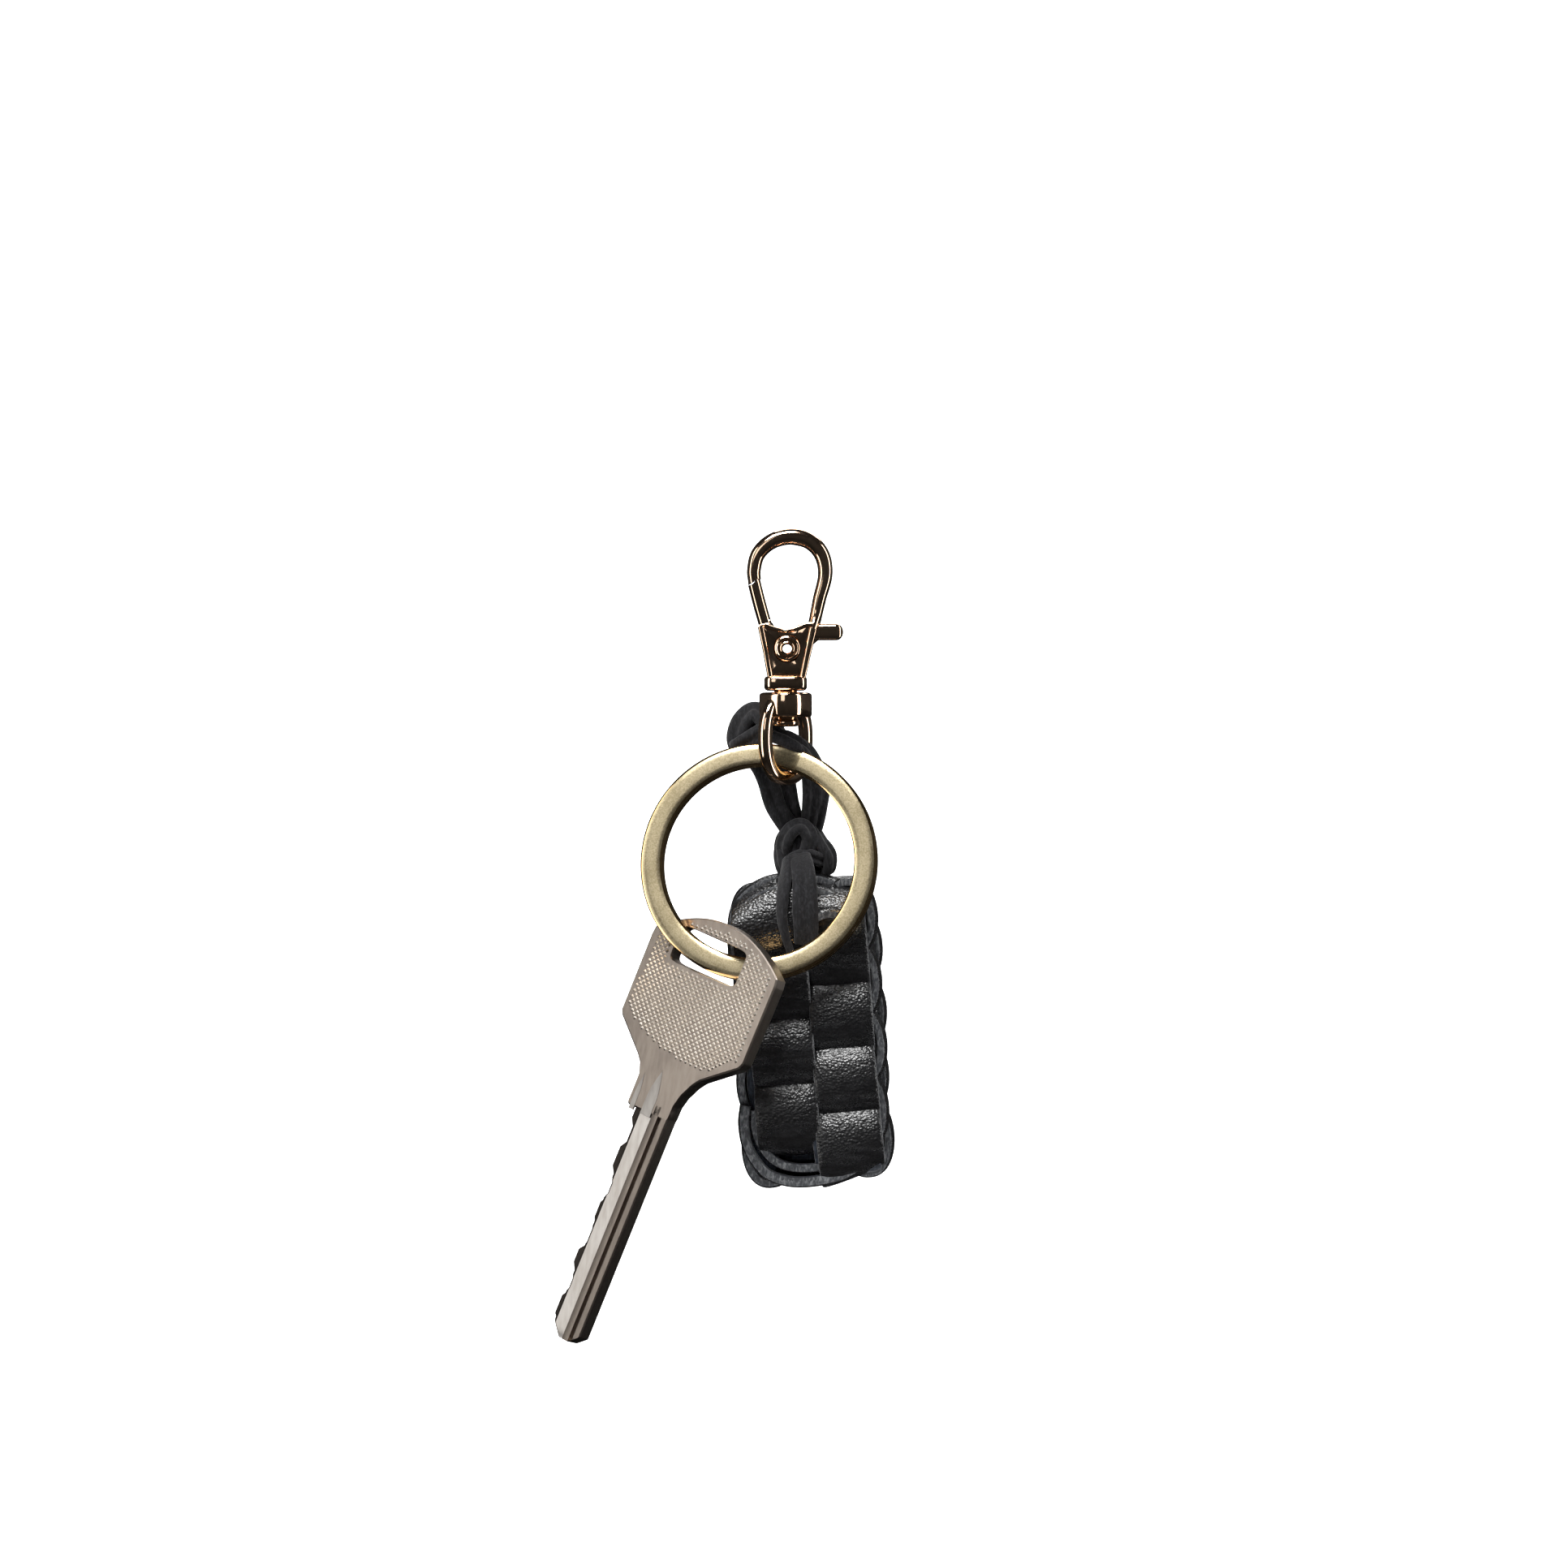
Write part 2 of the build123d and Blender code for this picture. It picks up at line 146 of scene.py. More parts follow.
def swept(path, section, normal, scale=None):
    """A section carried along a path: at each point, section x goes along tangent cross normal and
    section y along the normal made square to the tangent. scale is one factor pair per point."""
    path = np.asarray(path, float)
    tangent = unit(np.gradient(path, axis=0))
    normal = np.broadcast_to(np.asarray(normal, float), path.shape)
    side = unit(np.cross(tangent, normal))
    normal = np.cross(side, tangent)
    scale = np.ones((len(path), 2)) if scale is None else np.asarray(scale, float)
    x = section[None, :, 0] * scale[:, :1]
    y = section[None, :, 1] * scale[:, 1:]
    return path[:, None] + x[..., None] * side[:, None] + y[..., None] * normal[:, None]


def domed(points, rounding):
    """The same tube with each end closed by rings that shrink on a quarter circle, so ends look round."""
    turn = np.linspace(np.pi / 2, 0.12, 5)[:, None, None]
    first, last = points[0], points[-1]
    out_first = unit(points[0].mean(0) - points[1].mean(0)) * rounding
    out_last = unit(points[-1].mean(0) - points[-2].mean(0)) * rounding
    head = first.mean(0) + (first - first.mean(0)) * np.sin(turn[::-1]) + out_first * np.cos(turn[::-1])
    tail = last.mean(0) + (last - last.mean(0)) * np.sin(turn) + out_last * np.cos(turn)
    return np.concatenate([head, points[1:-1], tail])


# ------------------------------------------------------------------ meshes
def grid_faces(rows, columns, wrap_rows=False, wrap_columns=True, start=0):
    """Quads between neighbouring grid points, numbered row by row."""
    r = np.arange(rows if wrap_rows else rows - 1)
    c = np.arange(columns if wrap_columns else columns - 1)
    r, c = np.meshgrid(r, c, indexing="ij")
    r2, c2 = (r + 1) % rows, (c + 1) % columns
    quads = np.stack([r * columns + c, r * columns + c2, r2 * columns + c2, r2 * columns + c], axis=-1)
    return quads.reshape(-1, 4) + start


def volume_of(points, quads):
    """Signed volume: the sum of each triangle's corner triple product, over six."""
    triangles = np.concatenate([quads[:, [0, 1, 2]], quads[:, [0, 2, 3]]])
    a, b, c = (points[triangles[:, k]] for k in range(3))
    return np.einsum("ij,ij->i", a, np.cross(b, c)).sum() / 6


def tube_part(points, wrap_rows=False):
    """Vertices and quads of one closed tube. Each open end gets a fan to its middle."""
    rows, columns = points.shape[:2]
    vertices = points.reshape(-1, 3)
    quads = grid_faces(rows, columns, wrap_rows)
    if not wrap_rows:
        ends = np.stack([points[0].mean(0), points[-1].mean(0)])
        first = len(vertices)
        c = np.arange(columns)
        c2 = (c + 1) % columns
        low = np.stack([np.full(columns, first), c2, c, c], axis=1)
        top = (rows - 1) * columns
        high = np.stack([np.full(columns, first + 1), top + c, top + c2, top + c2], axis=1)
        vertices = np.vstack([vertices, ends])
        quads = np.vstack([quads, low, high])
    if volume_of(vertices - vertices.mean(0), quads) < 0:
        quads = quads[:, ::-1]
    return vertices, quads


def build(name, parts, material, smooth_angle=40.0):
    """One mesh object from closed parts in millimetres: (vertices, quads) or (vertices, quads, slots).
    A quad whose two last corners agree is a triangle. material is one material or a list for the slots."""
    vertices, faces, slots, start = [], [], [], 0
    for part in parts:
        points, quads = part[0], part[1]
        vertices.append(points)
        faces.append(quads + start)
        slots.append(part[2] if len(part) > 2 else np.zeros(len(quads), int))
        start += len(points)
    vertices = np.vstack(vertices) * MM
    faces, slots = np.vstack(faces), np.concatenate(slots)
    lists = [tuple(dict.fromkeys(f)) for f in faces.tolist()]
    mesh = bpy.data.meshes.new(name)
    mesh.from_pydata(vertices.tolist(), [], lists)
    for one in material if isinstance(material, (list, tuple)) else [material]:
        mesh.materials.append(one)
    mesh.polygons.foreach_set("material_index", slots.astype(np.int32))
    mesh.polygons.foreach_set("use_smooth", np.ones(len(faces), bool))
    mesh.validate()
    mesh.update()
    mesh.set_sharp_from_angle(angle=math.radians(smooth_angle))
    thing = bpy.data.objects.new(name, mesh)
    bpy.context.scene.collection.objects.link(thing)
    return thing


def fit(thing, body, slot, *nodes):
    """The piece rides on its body and stands for the CAD nodes, which are hidden. Its slot is not used."""
    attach(thing, body)
    if nodes:
        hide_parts(*nodes)


# ------------------------------------------------------------------ materials
class Number:
    """A shader number that takes Python arithmetic; each operator adds one Math node."""

    def __init__(self, shader, socket):
        self.shader, self.socket = shader, socket

    def math(self, operation, *others):
        return self.shader.number(operation, self, *others)

    def __add__(self, other):
        return self.math("ADD", other)

    def __sub__(self, other):
        return self.math("SUBTRACT", other)

    def __rsub__(self, other):
        return self.shader.number("SUBTRACT", other, self)

    def __mul__(self, other):
        return self.math("MULTIPLY", other)

    def __truediv__(self, other):
        return self.math("DIVIDE", other)

    def __pow__(self, other):
        return self.math("POWER", other)

    __radd__ = __add__
    __rmul__ = __mul__

    def between(self, low, high):
        """0 below low, 1 above high, smooth in between."""
        node = self.shader.node("ShaderNodeMapRange", {"interpolation_type": "SMOOTHSTEP"},
                                {"Value": self, "From Min": low, "From Max": high})
        return Number(self.shader, node.outputs["Result"])


class Shader:
    """One material: a Principled surface and the nodes that feed it."""

    def __init__(self, name, **constants):
        self.material = bpy.data.materials.new(name)
        self.material.use_nodes = True
        self.tree = self.material.node_tree
        self.surface = self.tree.nodes["Principled BSDF"]
        self.place = self.node("ShaderNodeTexCoord").outputs["Object"]
        for key, value in constants.items():
            self.surface.inputs[key.replace("_", " ")].default_value = value

    def node(self, kind, settings=None, inputs=None):
        """Adds a node; its settings are made first, then its sockets' values or links."""
        node = self.tree.nodes.new(kind)
        for key, value in (settings or {}).items():
            if key == "stops":
                ramp = node.color_ramp
                for element, (position, colour) in zip([ramp.elements[0], ramp.elements[1]], value):
                    element.position, element.color = position, colour
            else:
                setattr(node, key, value)
        for key, value in (inputs or {}).items():
            self.join(node.inputs[key], value)
        return node

    def join(self, socket, value):
        """Links a node's output to the socket, or sets the socket's own value."""
        value = value.socket if isinstance(value, Number) else value
        if isinstance(value, bpy.types.NodeSocket):
            self.tree.links.new(value, socket)
        else:
            socket.default_value = value

    def number(self, operation, *values):
        node = self.node("ShaderNodeMath", {"operation": operation}, dict(enumerate(values)))
        return Number(self, node.outputs[0])

    def stretched(self, factors):
        """Object coordinates with each axis multiplied, so a pattern can run along one of them."""
        node = self.node("ShaderNodeVectorMath", {"operation": "MULTIPLY"}, {0: self.place, 1: factors})
        return node.outputs[0]

    def noise(self, scale, detail=3.0, place=None, distortion=0.0):
        """Cloudy noise from 0 to 1; scale is in cells for each metre."""
        node = self.node("ShaderNodeTexNoise", None, {"Vector": place or self.place, "Scale": scale,
                                                      "Detail": detail, "Distortion": distortion})
        return Number(self, node.outputs["Fac"])

    def cells(self, scale, feature="F1", place=None):
        """Distance to the nearest of scattered points, for pebbles and specks."""
        node = self.node("ShaderNodeTexVoronoi", {"feature": feature}, {"Vector": place or self.place,
                                                                        "Scale": scale})
        return Number(self, node.outputs["Distance"])

    def mixed(self, factor, first, second):
        """One colour where factor is 0 and the other where it is 1."""
        node = self.node("ShaderNodeMix", {"data_type": "RGBA"}, {0: factor, 6: first, 7: second})
        return node.outputs[2]

    def feed(self, **values):
        for key, value in values.items():
            self.join(self.surface.inputs[key.replace("_", " ")], value)

    def bump(self, height, distance, strength=1.0):
        """Relief of the given depth in metres."""
        node = self.node("ShaderNodeBump", None,
                         {"Height": height, "Distance": distance, "Strength": strength})
        self.join(self.surface.inputs["Normal"], node.outputs[0])


def rgb(*values):
    return (*values, 1.0)


def brass_look(name, colour, shade, roughness, speck=0.0, coat=0.0):
    """Plated metal: cloudy tone, fine scratches along two directions and small polishing marks."""
    look = Shader(name, Metallic=1.0, Coat_Weight=coat, Coat_Roughness=0.05)
    cloud = look.noise(260.0, 4.0)
    grain = look.noise(5200.0, 2.0)
    scratch = look.noise(900.0, 2.0, look.stretched((6.0, 1.0, 0.25)))
    tone = (cloud * 0.6 + grain * speck).between(0.25 + 0.3 * speck, 0.75 + 0.2 * speck)
    look.feed(Base_Color=look.mixed(tone, shade, colour),
              Roughness=roughness + 0.07 * cloud + 0.10 * speck * grain + 0.05 * scratch.between(0.6, 0.8))
    look.bump(scratch * 0.4 + grain * (0.4 + speck), 0.00001 * (0.4 + 1.6 * speck), 0.35 + 0.5 * speck)
    return look.material


def leather_look(name, colour, shine, roughness, pebble=2500.0, depth=0.0001):
    """Black leather: pebble grain, fine pores, creases across the lace, and glossier specks in the grain whose
    paler colour is a painted sheen.
    """
    look = Shader(name, Specular_IOR_Level=0.75)
    bend = look.noise(700.0, 3.0)
    grain = look.cells(pebble, "F1", look.stretched((1.0, 1.0, 1.35)))
    pores = look.noise(pebble * 2.2, 2.0)
    crease = look.noise(420.0, 4.0, look.stretched((0.5, 0.5, 3.0)), 0.6)
    # Specks where the gaps between pebbles meet the crease noise: less rough, and painted paler as a sheen.
    sheen_specks = (grain * 1.4 + pores * 0.5).between(0.45, 1.05) * crease.between(0.35, 0.75)
    look.feed(Base_Color=look.mixed(sheen_specks, colour, shine),
              Roughness=roughness + 0.16 * bend - 0.10 * sheen_specks)
    look.bump(0.6 - grain * 0.8 + pores * 0.3 + crease * 0.7, depth, 1.0)
    return look.material


def edge_look(name, colour, light):
    """A cut leather edge or flesh side: short raised fibres, matte."""
    look = Shader(name, Specular_IOR_Level=0.25, Sheen_Weight=0.12, Sheen_Roughness=0.5)
    fibre = look.noise(3400.0, 4.0, look.stretched((1.0, 1.0, 0.4)), 0.8)
    patch = look.noise(800.0, 2.0)
    look.feed(Base_Color=look.mixed(fibre.between(0.4, 0.75) * (0.5 + 0.5 * patch), colour, light),
              Roughness=0.75 + 0.15 * fibre)
    look.bump(fibre, 0.00008, 0.7)
    return look.material


def nickel_look(name, colour, light, roughness, brushed, relief=0.5):
    """Worn warm nickel: streaks along the blade, soft handling marks and fine specks."""
    look = Shader(name, Metallic=1.0)
    streak = look.noise(1500.0, 3.0, look.stretched(brushed))
    cloud = look.noise(180.0, 3.0)
    speck = look.noise(6500.0, 1.0)
    look.feed(Base_Color=look.mixed((streak * 0.5 + cloud * 0.5).between(0.3, 0.7), colour, light),
              Roughness=roughness + 0.12 * cloud + 0.08 * streak)
    look.bump(streak * 0.6 + speck * 0.4, 0.00001, relief)
    return look.material


class KEYFOB_Settings(bpy.types.PropertyGroup):
    """Sizes and colours that a user would change."""

    gold: bpy.props.FloatVectorProperty(name="Clasp gold", description="Polished plating of the clasp",
                                        subtype="COLOR", size=4, default=rgb(0.92, 0.71, 0.53))
    ring_gold: bpy.props.FloatVectorProperty(name="Ring gold", description="Satin plating of the split ring",
                                             subtype="COLOR", size=4, default=rgb(0.60, 0.51, 0.33))
    nickel: bpy.props.FloatVectorProperty(name="Key nickel", description="Plating of the door key",
                                          subtype="COLOR", size=4, default=rgb(0.34, 0.295, 0.255))
    leather: bpy.props.FloatVectorProperty(name="Leather", description="Grain side of the laces",
                                           subtype="COLOR", size=4, default=rgb(0.004, 0.004, 0.0045))
    lace_width: bpy.props.FloatProperty(name="Braid lace width", description="Width of a braided lace, mm",
                                        default=7.7, min=4, max=12)
    lace_thickness: bpy.props.FloatProperty(name="Braid lace thickness", description="Thickness, mm",
                                            default=1.15, min=0.5, max=2)
    pitch: bpy.props.FloatProperty(name="Wrap pitch", description="From one wrap to the next, mm",
                                   default=8.1, min=4, max=12)
    cord_width: bpy.props.FloatProperty(name="Hanging lace width", description="Width of a strand, mm",
                                        default=2.3, min=1, max=4)


LOOKS = {}


def make_looks(s):
    """Every finish of the object, once."""
    gold, ring, nickel, leather = (tuple(v) for v in (s.gold, s.ring_gold, s.nickel, s.leather))
    LOOKS.update(
        clasp=brass_look("polished_rose_gold", gold, rgb(0.80, 0.56, 0.39), 0.06),
        copper=brass_look("copper_neck", rgb(0.85, 0.42, 0.2), rgb(0.6, 0.26, 0.1), 0.14),
        satin=brass_look("satin_ring_gold", ring, rgb(0.40, 0.33, 0.20), 0.27, 0.8),
        bright=brass_look("bright_ring_edge", rgb(0.98, 0.86, 0.62), rgb(0.85, 0.55, 0.25), 0.09),
        nickel=nickel_look("warm_nickel", nickel, rgb(0.24, 0.205, 0.18), 0.27, (1.0, 1.0, 0.08)),
        # A paler, greyer nickel: a painted highlight on the groove facet and the groove ends; the blade's end
        # faces take it too.
        milled=nickel_look("milled_nickel_and_painted_highlight", rgb(0.30, 0.28, 0.26), rgb(0.44, 0.42, 0.40), 0.30,
                           (1.0, 1.0, 0.03), 0.12),
        # The knurl points take a far paler nickel than the bow: a painted glint on each point.
        knurl=nickel_look("knurl_points_painted_glint", rgb(0.88, 0.80, 0.70), rgb(0.98, 0.92, 0.84), 0.24,
                          (1.0, 1.0, 1.0)),
        steel=nickel_look("spring_steel", rgb(0.5, 0.5, 0.5), rgb(0.7, 0.7, 0.7), 0.2, (1.0, 1.0, 1.0)),
        # The leather's second colour is paler: it paints the sheen on the grain specks.
        leather=leather_look("black_grain_leather", leather, rgb(0.014, 0.014, 0.015), 0.24),
        edge=edge_look("raw_leather_edge", rgb(0.03, 0.032, 0.036), rgb(0.16, 0.165, 0.17)),
        flesh=edge_look("leather_flesh_side", rgb(0.005, 0.007, 0.012), rgb(0.028, 0.036, 0.05)),
        lace=edge_look("matte_lace", rgb(0.004, 0.004, 0.005), rgb(0.022, 0.022, 0.025)),
    )


# ------------------------------------------------------------------ clasp
def plate_part(outline, front, back, bevel):
    """A flat closed outline in X and Z given depth along Y. Its rim is drawn in by bevel at both faces."""
    tangent = unit(np.roll(outline, -1, axis=0) - np.roll(outline, 1, axis=0))
    inward = np.stack([-tangent[:, 1], tangent[:, 0]], axis=1)
    area = np.sum(outline[:, 0] * np.roll(outline[:, 1], -1) - np.roll(outline[:, 0], -1) * outline[:, 1])
    inner = outline + inward * bevel * np.sign(area)
    rows = [(inner, front), (outline, front + bevel), (outline, back - bevel), (inner, back)]
    return tube_part(np.stack([np.stack([o[:, 0], np.full(len(o), y), o[:, 1]], axis=1) for o, y in rows]))


def star_radius(outline, centre, angle):
    """The outline's distance from the centre at each angle, read off its finely divided runs. Every
    ray from the centre must cross the outline once."""
    closed = np.vstack([outline, outline[:1]]) - centre
    t = np.linspace(0, 1, 40, endpoint=False)[None, :, None]
    fine = (closed[:-1, None] * (1 - t) + closed[1:, None] * t).reshape(-1, 2)
    at = np.arctan2(fine[:, 1], fine[:, 0])
    order = np.argsort(at)
    return np.interp(angle, at[order], np.linalg.norm(fine, axis=1)[order], period=2 * np.pi)


def holed_plate(outline, centre, hole, front, back, bevel, count=360):
    """A flat plate with one hole: for each angle about the hole's middle, a closed loop from the
    hole's wall to the rim and back, with narrow bevels. hole is a radius for an array of angles."""
    angle = np.linspace(-np.pi, np.pi, count, endpoint=False)
    outer, inner = star_radius(outline, centre, angle), hole(angle)
    loop = [(inner, front + bevel), (inner + bevel, front), (outer - 1.5 * bevel, front),
            (outer, front + bevel), (outer, back - bevel), (outer - 1.5 * bevel, back),
            (inner + bevel, back), (inner, back - bevel)]
    points = [np.stack([centre[0] + radius * np.cos(angle), np.full(count, y),
                        centre[1] + radius * np.sin(angle)], axis=1) for radius, y in loop]
    return tube_part(np.stack(points, axis=1), wrap_rows=True)


def turned_part(profile, origin, axis="z", count=72, closed=False):
    """A profile of radius and height turned about an axis. A closed profile makes a ring."""
    angle = np.linspace(0, 2 * np.pi, count, endpoint=False)[:, None]
    r, h = np.asarray(profile, float).T
    flat = r * np.cos(angle), r * np.sin(angle)
    height = np.broadcast_to(h, flat[0].shape)
    points = np.stack([flat[0], height, flat[1]] if axis == "y" else [*flat, height], axis=-1) + origin
    if closed:
        return tube_part(points, wrap_rows=True)
    return tube_part(points.transpose(1, 0, 2))


def column_part(outline, levels, turn=0.0):
    """An outline in X and Y carried up Z. levels are pairs of height and scale."""
    rotation = turn_about("z", turn)
    rows = [np.column_stack([outline * scale, np.full(len(outline), z)]) @ rotation.T for z, scale in levels]
    return tube_part(np.stack(rows))


def flat_path(points, count, y=0.0):
    """A smooth curve in the XZ plane at depth y."""
    curve = spline(points, count)
    return np.stack([curve[:, 0], np.full(count, y), curve[:, 1]], axis=1)


def widths(values, count):
    """Width factors spread smoothly along a path."""
    return spline(np.asarray(values, float)[:, None] * [1, 1], count)[:, 0]


def frame_parts():
    """The bent hook wire, the two cheeks of the body with their raised rims, and the collar."""
    low, _ = (np.array(v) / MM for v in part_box("hook_frame"))
    collar_top, cheek = low[2] + 1.75, 2.1
    count = 150
    hook = flat_path([(3.3, -7.2), (3.65, -6.1), (4.25, -3.3), (4.98, -0.2), (4.55, 2.3), (2.95, 4.05),
                      (0.55, 4.6), (-1.8, 3.95), (-3.45, 2.4), (-3.98, 0.4), (-3.9, -0.98)], count)
    wide = widths([1.5, 2.1, 2.15, 1.95, 1.85, 1.82, 1.8, 1.8, 1.76, 1.74, 1.7], count)
    deep = 2.5 + 1.3 * smooth(1 - np.linspace(0, 9, count))
    section = superellipse(1, 1, 2.4, 40)
    wire = swept(hook, section, BACK, np.stack([wide, deep], axis=1))
    ahead = unit(hook[-1] - hook[-2])
    slant = (wire[-1] - hook[-1]) @ np.array([1.0, 0, 0])
    wire[-1] = wire[-1] + np.outer(slant * 0.55, -ahead)
    parts = [tube_part(wire)]
    u = spline([(3.3, -6.2), (2.4, -6.35), (1.35, -6.85), (0.0, -7.1), (-1.2, -6.9), (-2.1, -6.3)], 40)
    outline = np.vstack([u, [(-3.3, -6.5), (-3.0, -8.5), (-2.5, -11.0), (-2.05, collar_top),
                             (2.3, collar_top), (2.75, -11.0), (3.2, -8.8), (3.6, -6.6)]])
    rim_section = superellipse(1, 1, 2.6, 24)
    for side in (-1, 1):
        inner, outer = side * 1.12, side * (cheek - 0.32)
        parts.append(holed_plate(outline, joint_point("gate_pivot")[[0, 2]], lambda a: np.full(len(a), 0.94),
                                 min(inner, outer), max(inner, outer), 0.06))
        middle = side * (1.12 + cheek) / 2
        deep = cheek - 1.12
        for points, values in (([(2.15, collar_top - 0.2), (2.85, -9.8), (3.45, -7.0)], (0.78, 0.82, 1.0)),
                               ([(-1.92, collar_top - 0.2), (-2.5, -9.8), (-3.12, -6.75)], (0.72, 0.74, 0.78)),
                               ([(3.3, -6.5), (2.4, -6.6), (1.35, -7.02), (0.0, -7.3), (-1.3, -7.08),
                                 (-2.6, -6.6)], (0.7, 0.55, 0.5, 0.5, 0.5, 0.5))):
            path = flat_path(points, 40, middle)
            scale = np.stack([widths(values, 40), np.full(40, deep)], axis=1)
            parts.append(tube_part(swept(path, rim_section, BACK, scale)))
    square = superellipse(5.4, 5.4, 4.5, 64)
    bottom = low[2]
    parts.append(column_part(square, [(bottom, 0.86), (bottom + 0.12, 0.95), (bottom + 0.35, 1.0),
                                      (collar_top - 0.3, 1.0), (collar_top - 0.08, 0.95), (collar_top, 0.86)]))
    return parts


def lever_parts():
    """The slant-ended gate, the thin web on the rivet and the round-ended thumb tab."""
    path = flat_path([(-3.95, -1.2), (-3.3, -3.8), (-2.6, -6.3)], 30)
    gate = swept(path, superellipse(1.68, 2.3, 2.5, 40), BACK)
    ahead = unit(path[0] - path[1])
    gate[0] = gate[0] + np.outer((gate[0] - path[0]) @ np.array([1.0, 0, 0]) * 0.72, ahead)
    pivot = joint_point("gate_pivot")
    _, high = (np.array(v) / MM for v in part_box("gate_lever"))
    hub = np.linspace(-0.55, -np.pi - 0.3, 26)
    web = np.vstack([[(-3.3, -5.9), (-1.9, -5.9), (-0.9, -7.5), (1.1, -7.75), (4.3, -7.65), (4.3, -8.3)],
                     np.stack([pivot[0] + 1.8 * np.cos(hub), pivot[2] + 1.8 * np.sin(hub)], axis=1),
                     [(-2.95, -7.2)]])
    tab_path = np.stack([np.linspace(3.6, high[0] - 0.55, 14), np.zeros(14), np.full(14, -7.4)], axis=1)
    tab = domed(swept(tab_path, superellipse(2.1, 2.2, 4.5, 40), BACK), 0.85)
    plate = holed_plate(web, pivot[[0, 2]], lambda a: np.full(len(a), 0.99), -0.95, 0.15, 0.05)
    return [tube_part(gate), plate, tube_part(tab)]


def rivet_parts():
    """A hollow rivet: a rolled rim with a groove inside it, at both faces, turned about Y."""
    pivot = joint_point("gate_pivot")
    _, high = (np.array(v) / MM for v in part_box("pivot_rivet"))
    proud = high[1]
    face = [(0.58, proud - 0.45), (0.62, proud - 0.1), (0.74, proud + 0.03), (0.9, proud - 0.02),
            (0.98, proud - 0.2), (1.08, proud - 0.24), (1.18, proud - 0.08), (1.34, proud + 0.04),
            (1.52, proud - 0.02), (1.63, proud - 0.16), (1.64, proud - 0.28), (0.94, proud - 0.42)]
    profile = face + [(r, -h) for r, h in face[::-1]]
    return [turned_part(profile, pivot * [1, 0, 1], "y", 64, closed=True)]


def swivel_parts():
    """The drum that turns on the post, and the eye bent from round stock below it."""
    yaw = 50.0
    top, bottom = -15.0, -18.15
    drum = column_part(superellipse(6.2, 6.2, 2.5, 72),
                       [(bottom, 0.88), (bottom + 0.15, 0.97), (bottom + 0.4, 1.0), (top - 0.4, 1.0),
                        (top - 0.15, 0.97), (top, 0.88)], yaw)
    low, _ = (np.array(v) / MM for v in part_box("swivel_eye"))
    wire = 0.83
    angle = np.radians(np.linspace(112, 428, 160))
    tall = 5.05
    oval = np.stack([3.95 * np.cos(angle), np.sin(angle) * tall], axis=1)
    oval = np.sign(oval) * np.abs(oval / [3.95, tall]) ** 0.86 * [3.95, tall]
    curve = oval + [0, low[2] + wire + tall]
    path = np.stack([curve[:, 0], np.zeros(160), curve[:, 1]], axis=1) @ turn_about("z", yaw).T
    normal = turn_about("z", yaw) @ BACK
    eye = swept(path, superellipse(2 * wire + 0.1, 2 * wire, 2.5, 36), normal)
    return [drum, tube_part(eye)]


def post_parts():
    """The post's stepped head below the drum."""
    low, high = (np.array(v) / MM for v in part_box("swivel_post"))
    bottom = low[2]
    head = [(1.2, bottom - 0.0), (1.6, bottom + 0.1), (1.74, bottom + 0.3), (1.75, bottom + 0.62),
            (1.6, bottom + 0.78), (1.5, bottom + 1.0), (1.45, bottom + 1.2)]
    vertices, quads = turned_part(head + [(1.45, bottom + 1.3), (1.45, high[2])], np.zeros(3))
    slots = np.where(vertices[quads][:, :, 2].mean(1) > bottom + 1.28, 1, 0)
    return [(vertices, quads, slots)]


def ring_parts():
    """A flat band wound twice: the angle runs over nearly two turns, and the level changes by a
    smooth step where the first turn ends. Flat faces are satin; corners and edges are bright."""
    turn, tilt, step_at, step_arc = -10.0, -10.0, 13.0, 16.0
    middle_r, half_band, half_turn, corner, crown = 13.6, 1.4, 0.475, 0.28, 0.07
    level = half_turn + 0.05
    start = step_at + step_arc / 2
    degrees = np.linspace(start, start + 720 - step_arc, 720)
    angle = np.radians(degrees)
    y = -level + 2 * level * smooth((degrees - (step_at - step_arc / 2) - 360) / step_arc)
    a, b = half_band, half_turn
    across = np.linspace(1, -1, 5)
    face = np.stack([(a - corner) * across, b - crown * across**2], axis=1)
    section = np.vstack([[(a, -(b - corner)), (a, b - corner)], face, [(-a, b - corner), (-a, -(b - corner))],
                         -face])
    r = middle_r + section[None, :, 0]
    points = np.stack([r * np.sin(angle)[:, None], y[:, None] + section[None, :, 1],
                       r * np.cos(angle)[:, None]], axis=-1)
    rotation = turn_about("z", turn) @ turn_about("x", tilt)
    points = placed(points, rotation, node_middle("split_ring"))
    vertices, quads = tube_part(points)
    rows = len(degrees) - 1
    sides = len(section)
    pairs = np.sort(np.stack([quads[:, 0] % sides, quads[:, 2] % sides]), axis=0)
    flat = ((pairs[0] >= 2) & (pairs[1] <= 6)) | (pairs[0] >= 9)
    slots = np.where(flat, 0, 1)
    slots[rows * sides:] = 0
    return [(vertices, quads, slots)]


# ------------------------------------------------------------------ door key
def key_frame():
    """Rotation and origin of the key: blade along -Z, front face towards -Y, slot near the middle."""
    rotation = turn_about("y", 22.0) @ turn_about("z", -40.0)
    return rotation, joint_point("key_swing") + rotation @ np.array([2.0, 0.0, 0.3])


SLOT_MIDDLE = np.array([-0.9, 0.0])


def slot_radius(angle):
    """The slot's wall: a rounded oblong, |x/5.7|^9 + |z/2.35|^9 = 1."""
    return ((np.abs(np.cos(angle)) / 5.7) ** 9 + (np.abs(np.sin(angle)) / 2.35) ** 9) ** (-1 / 9)


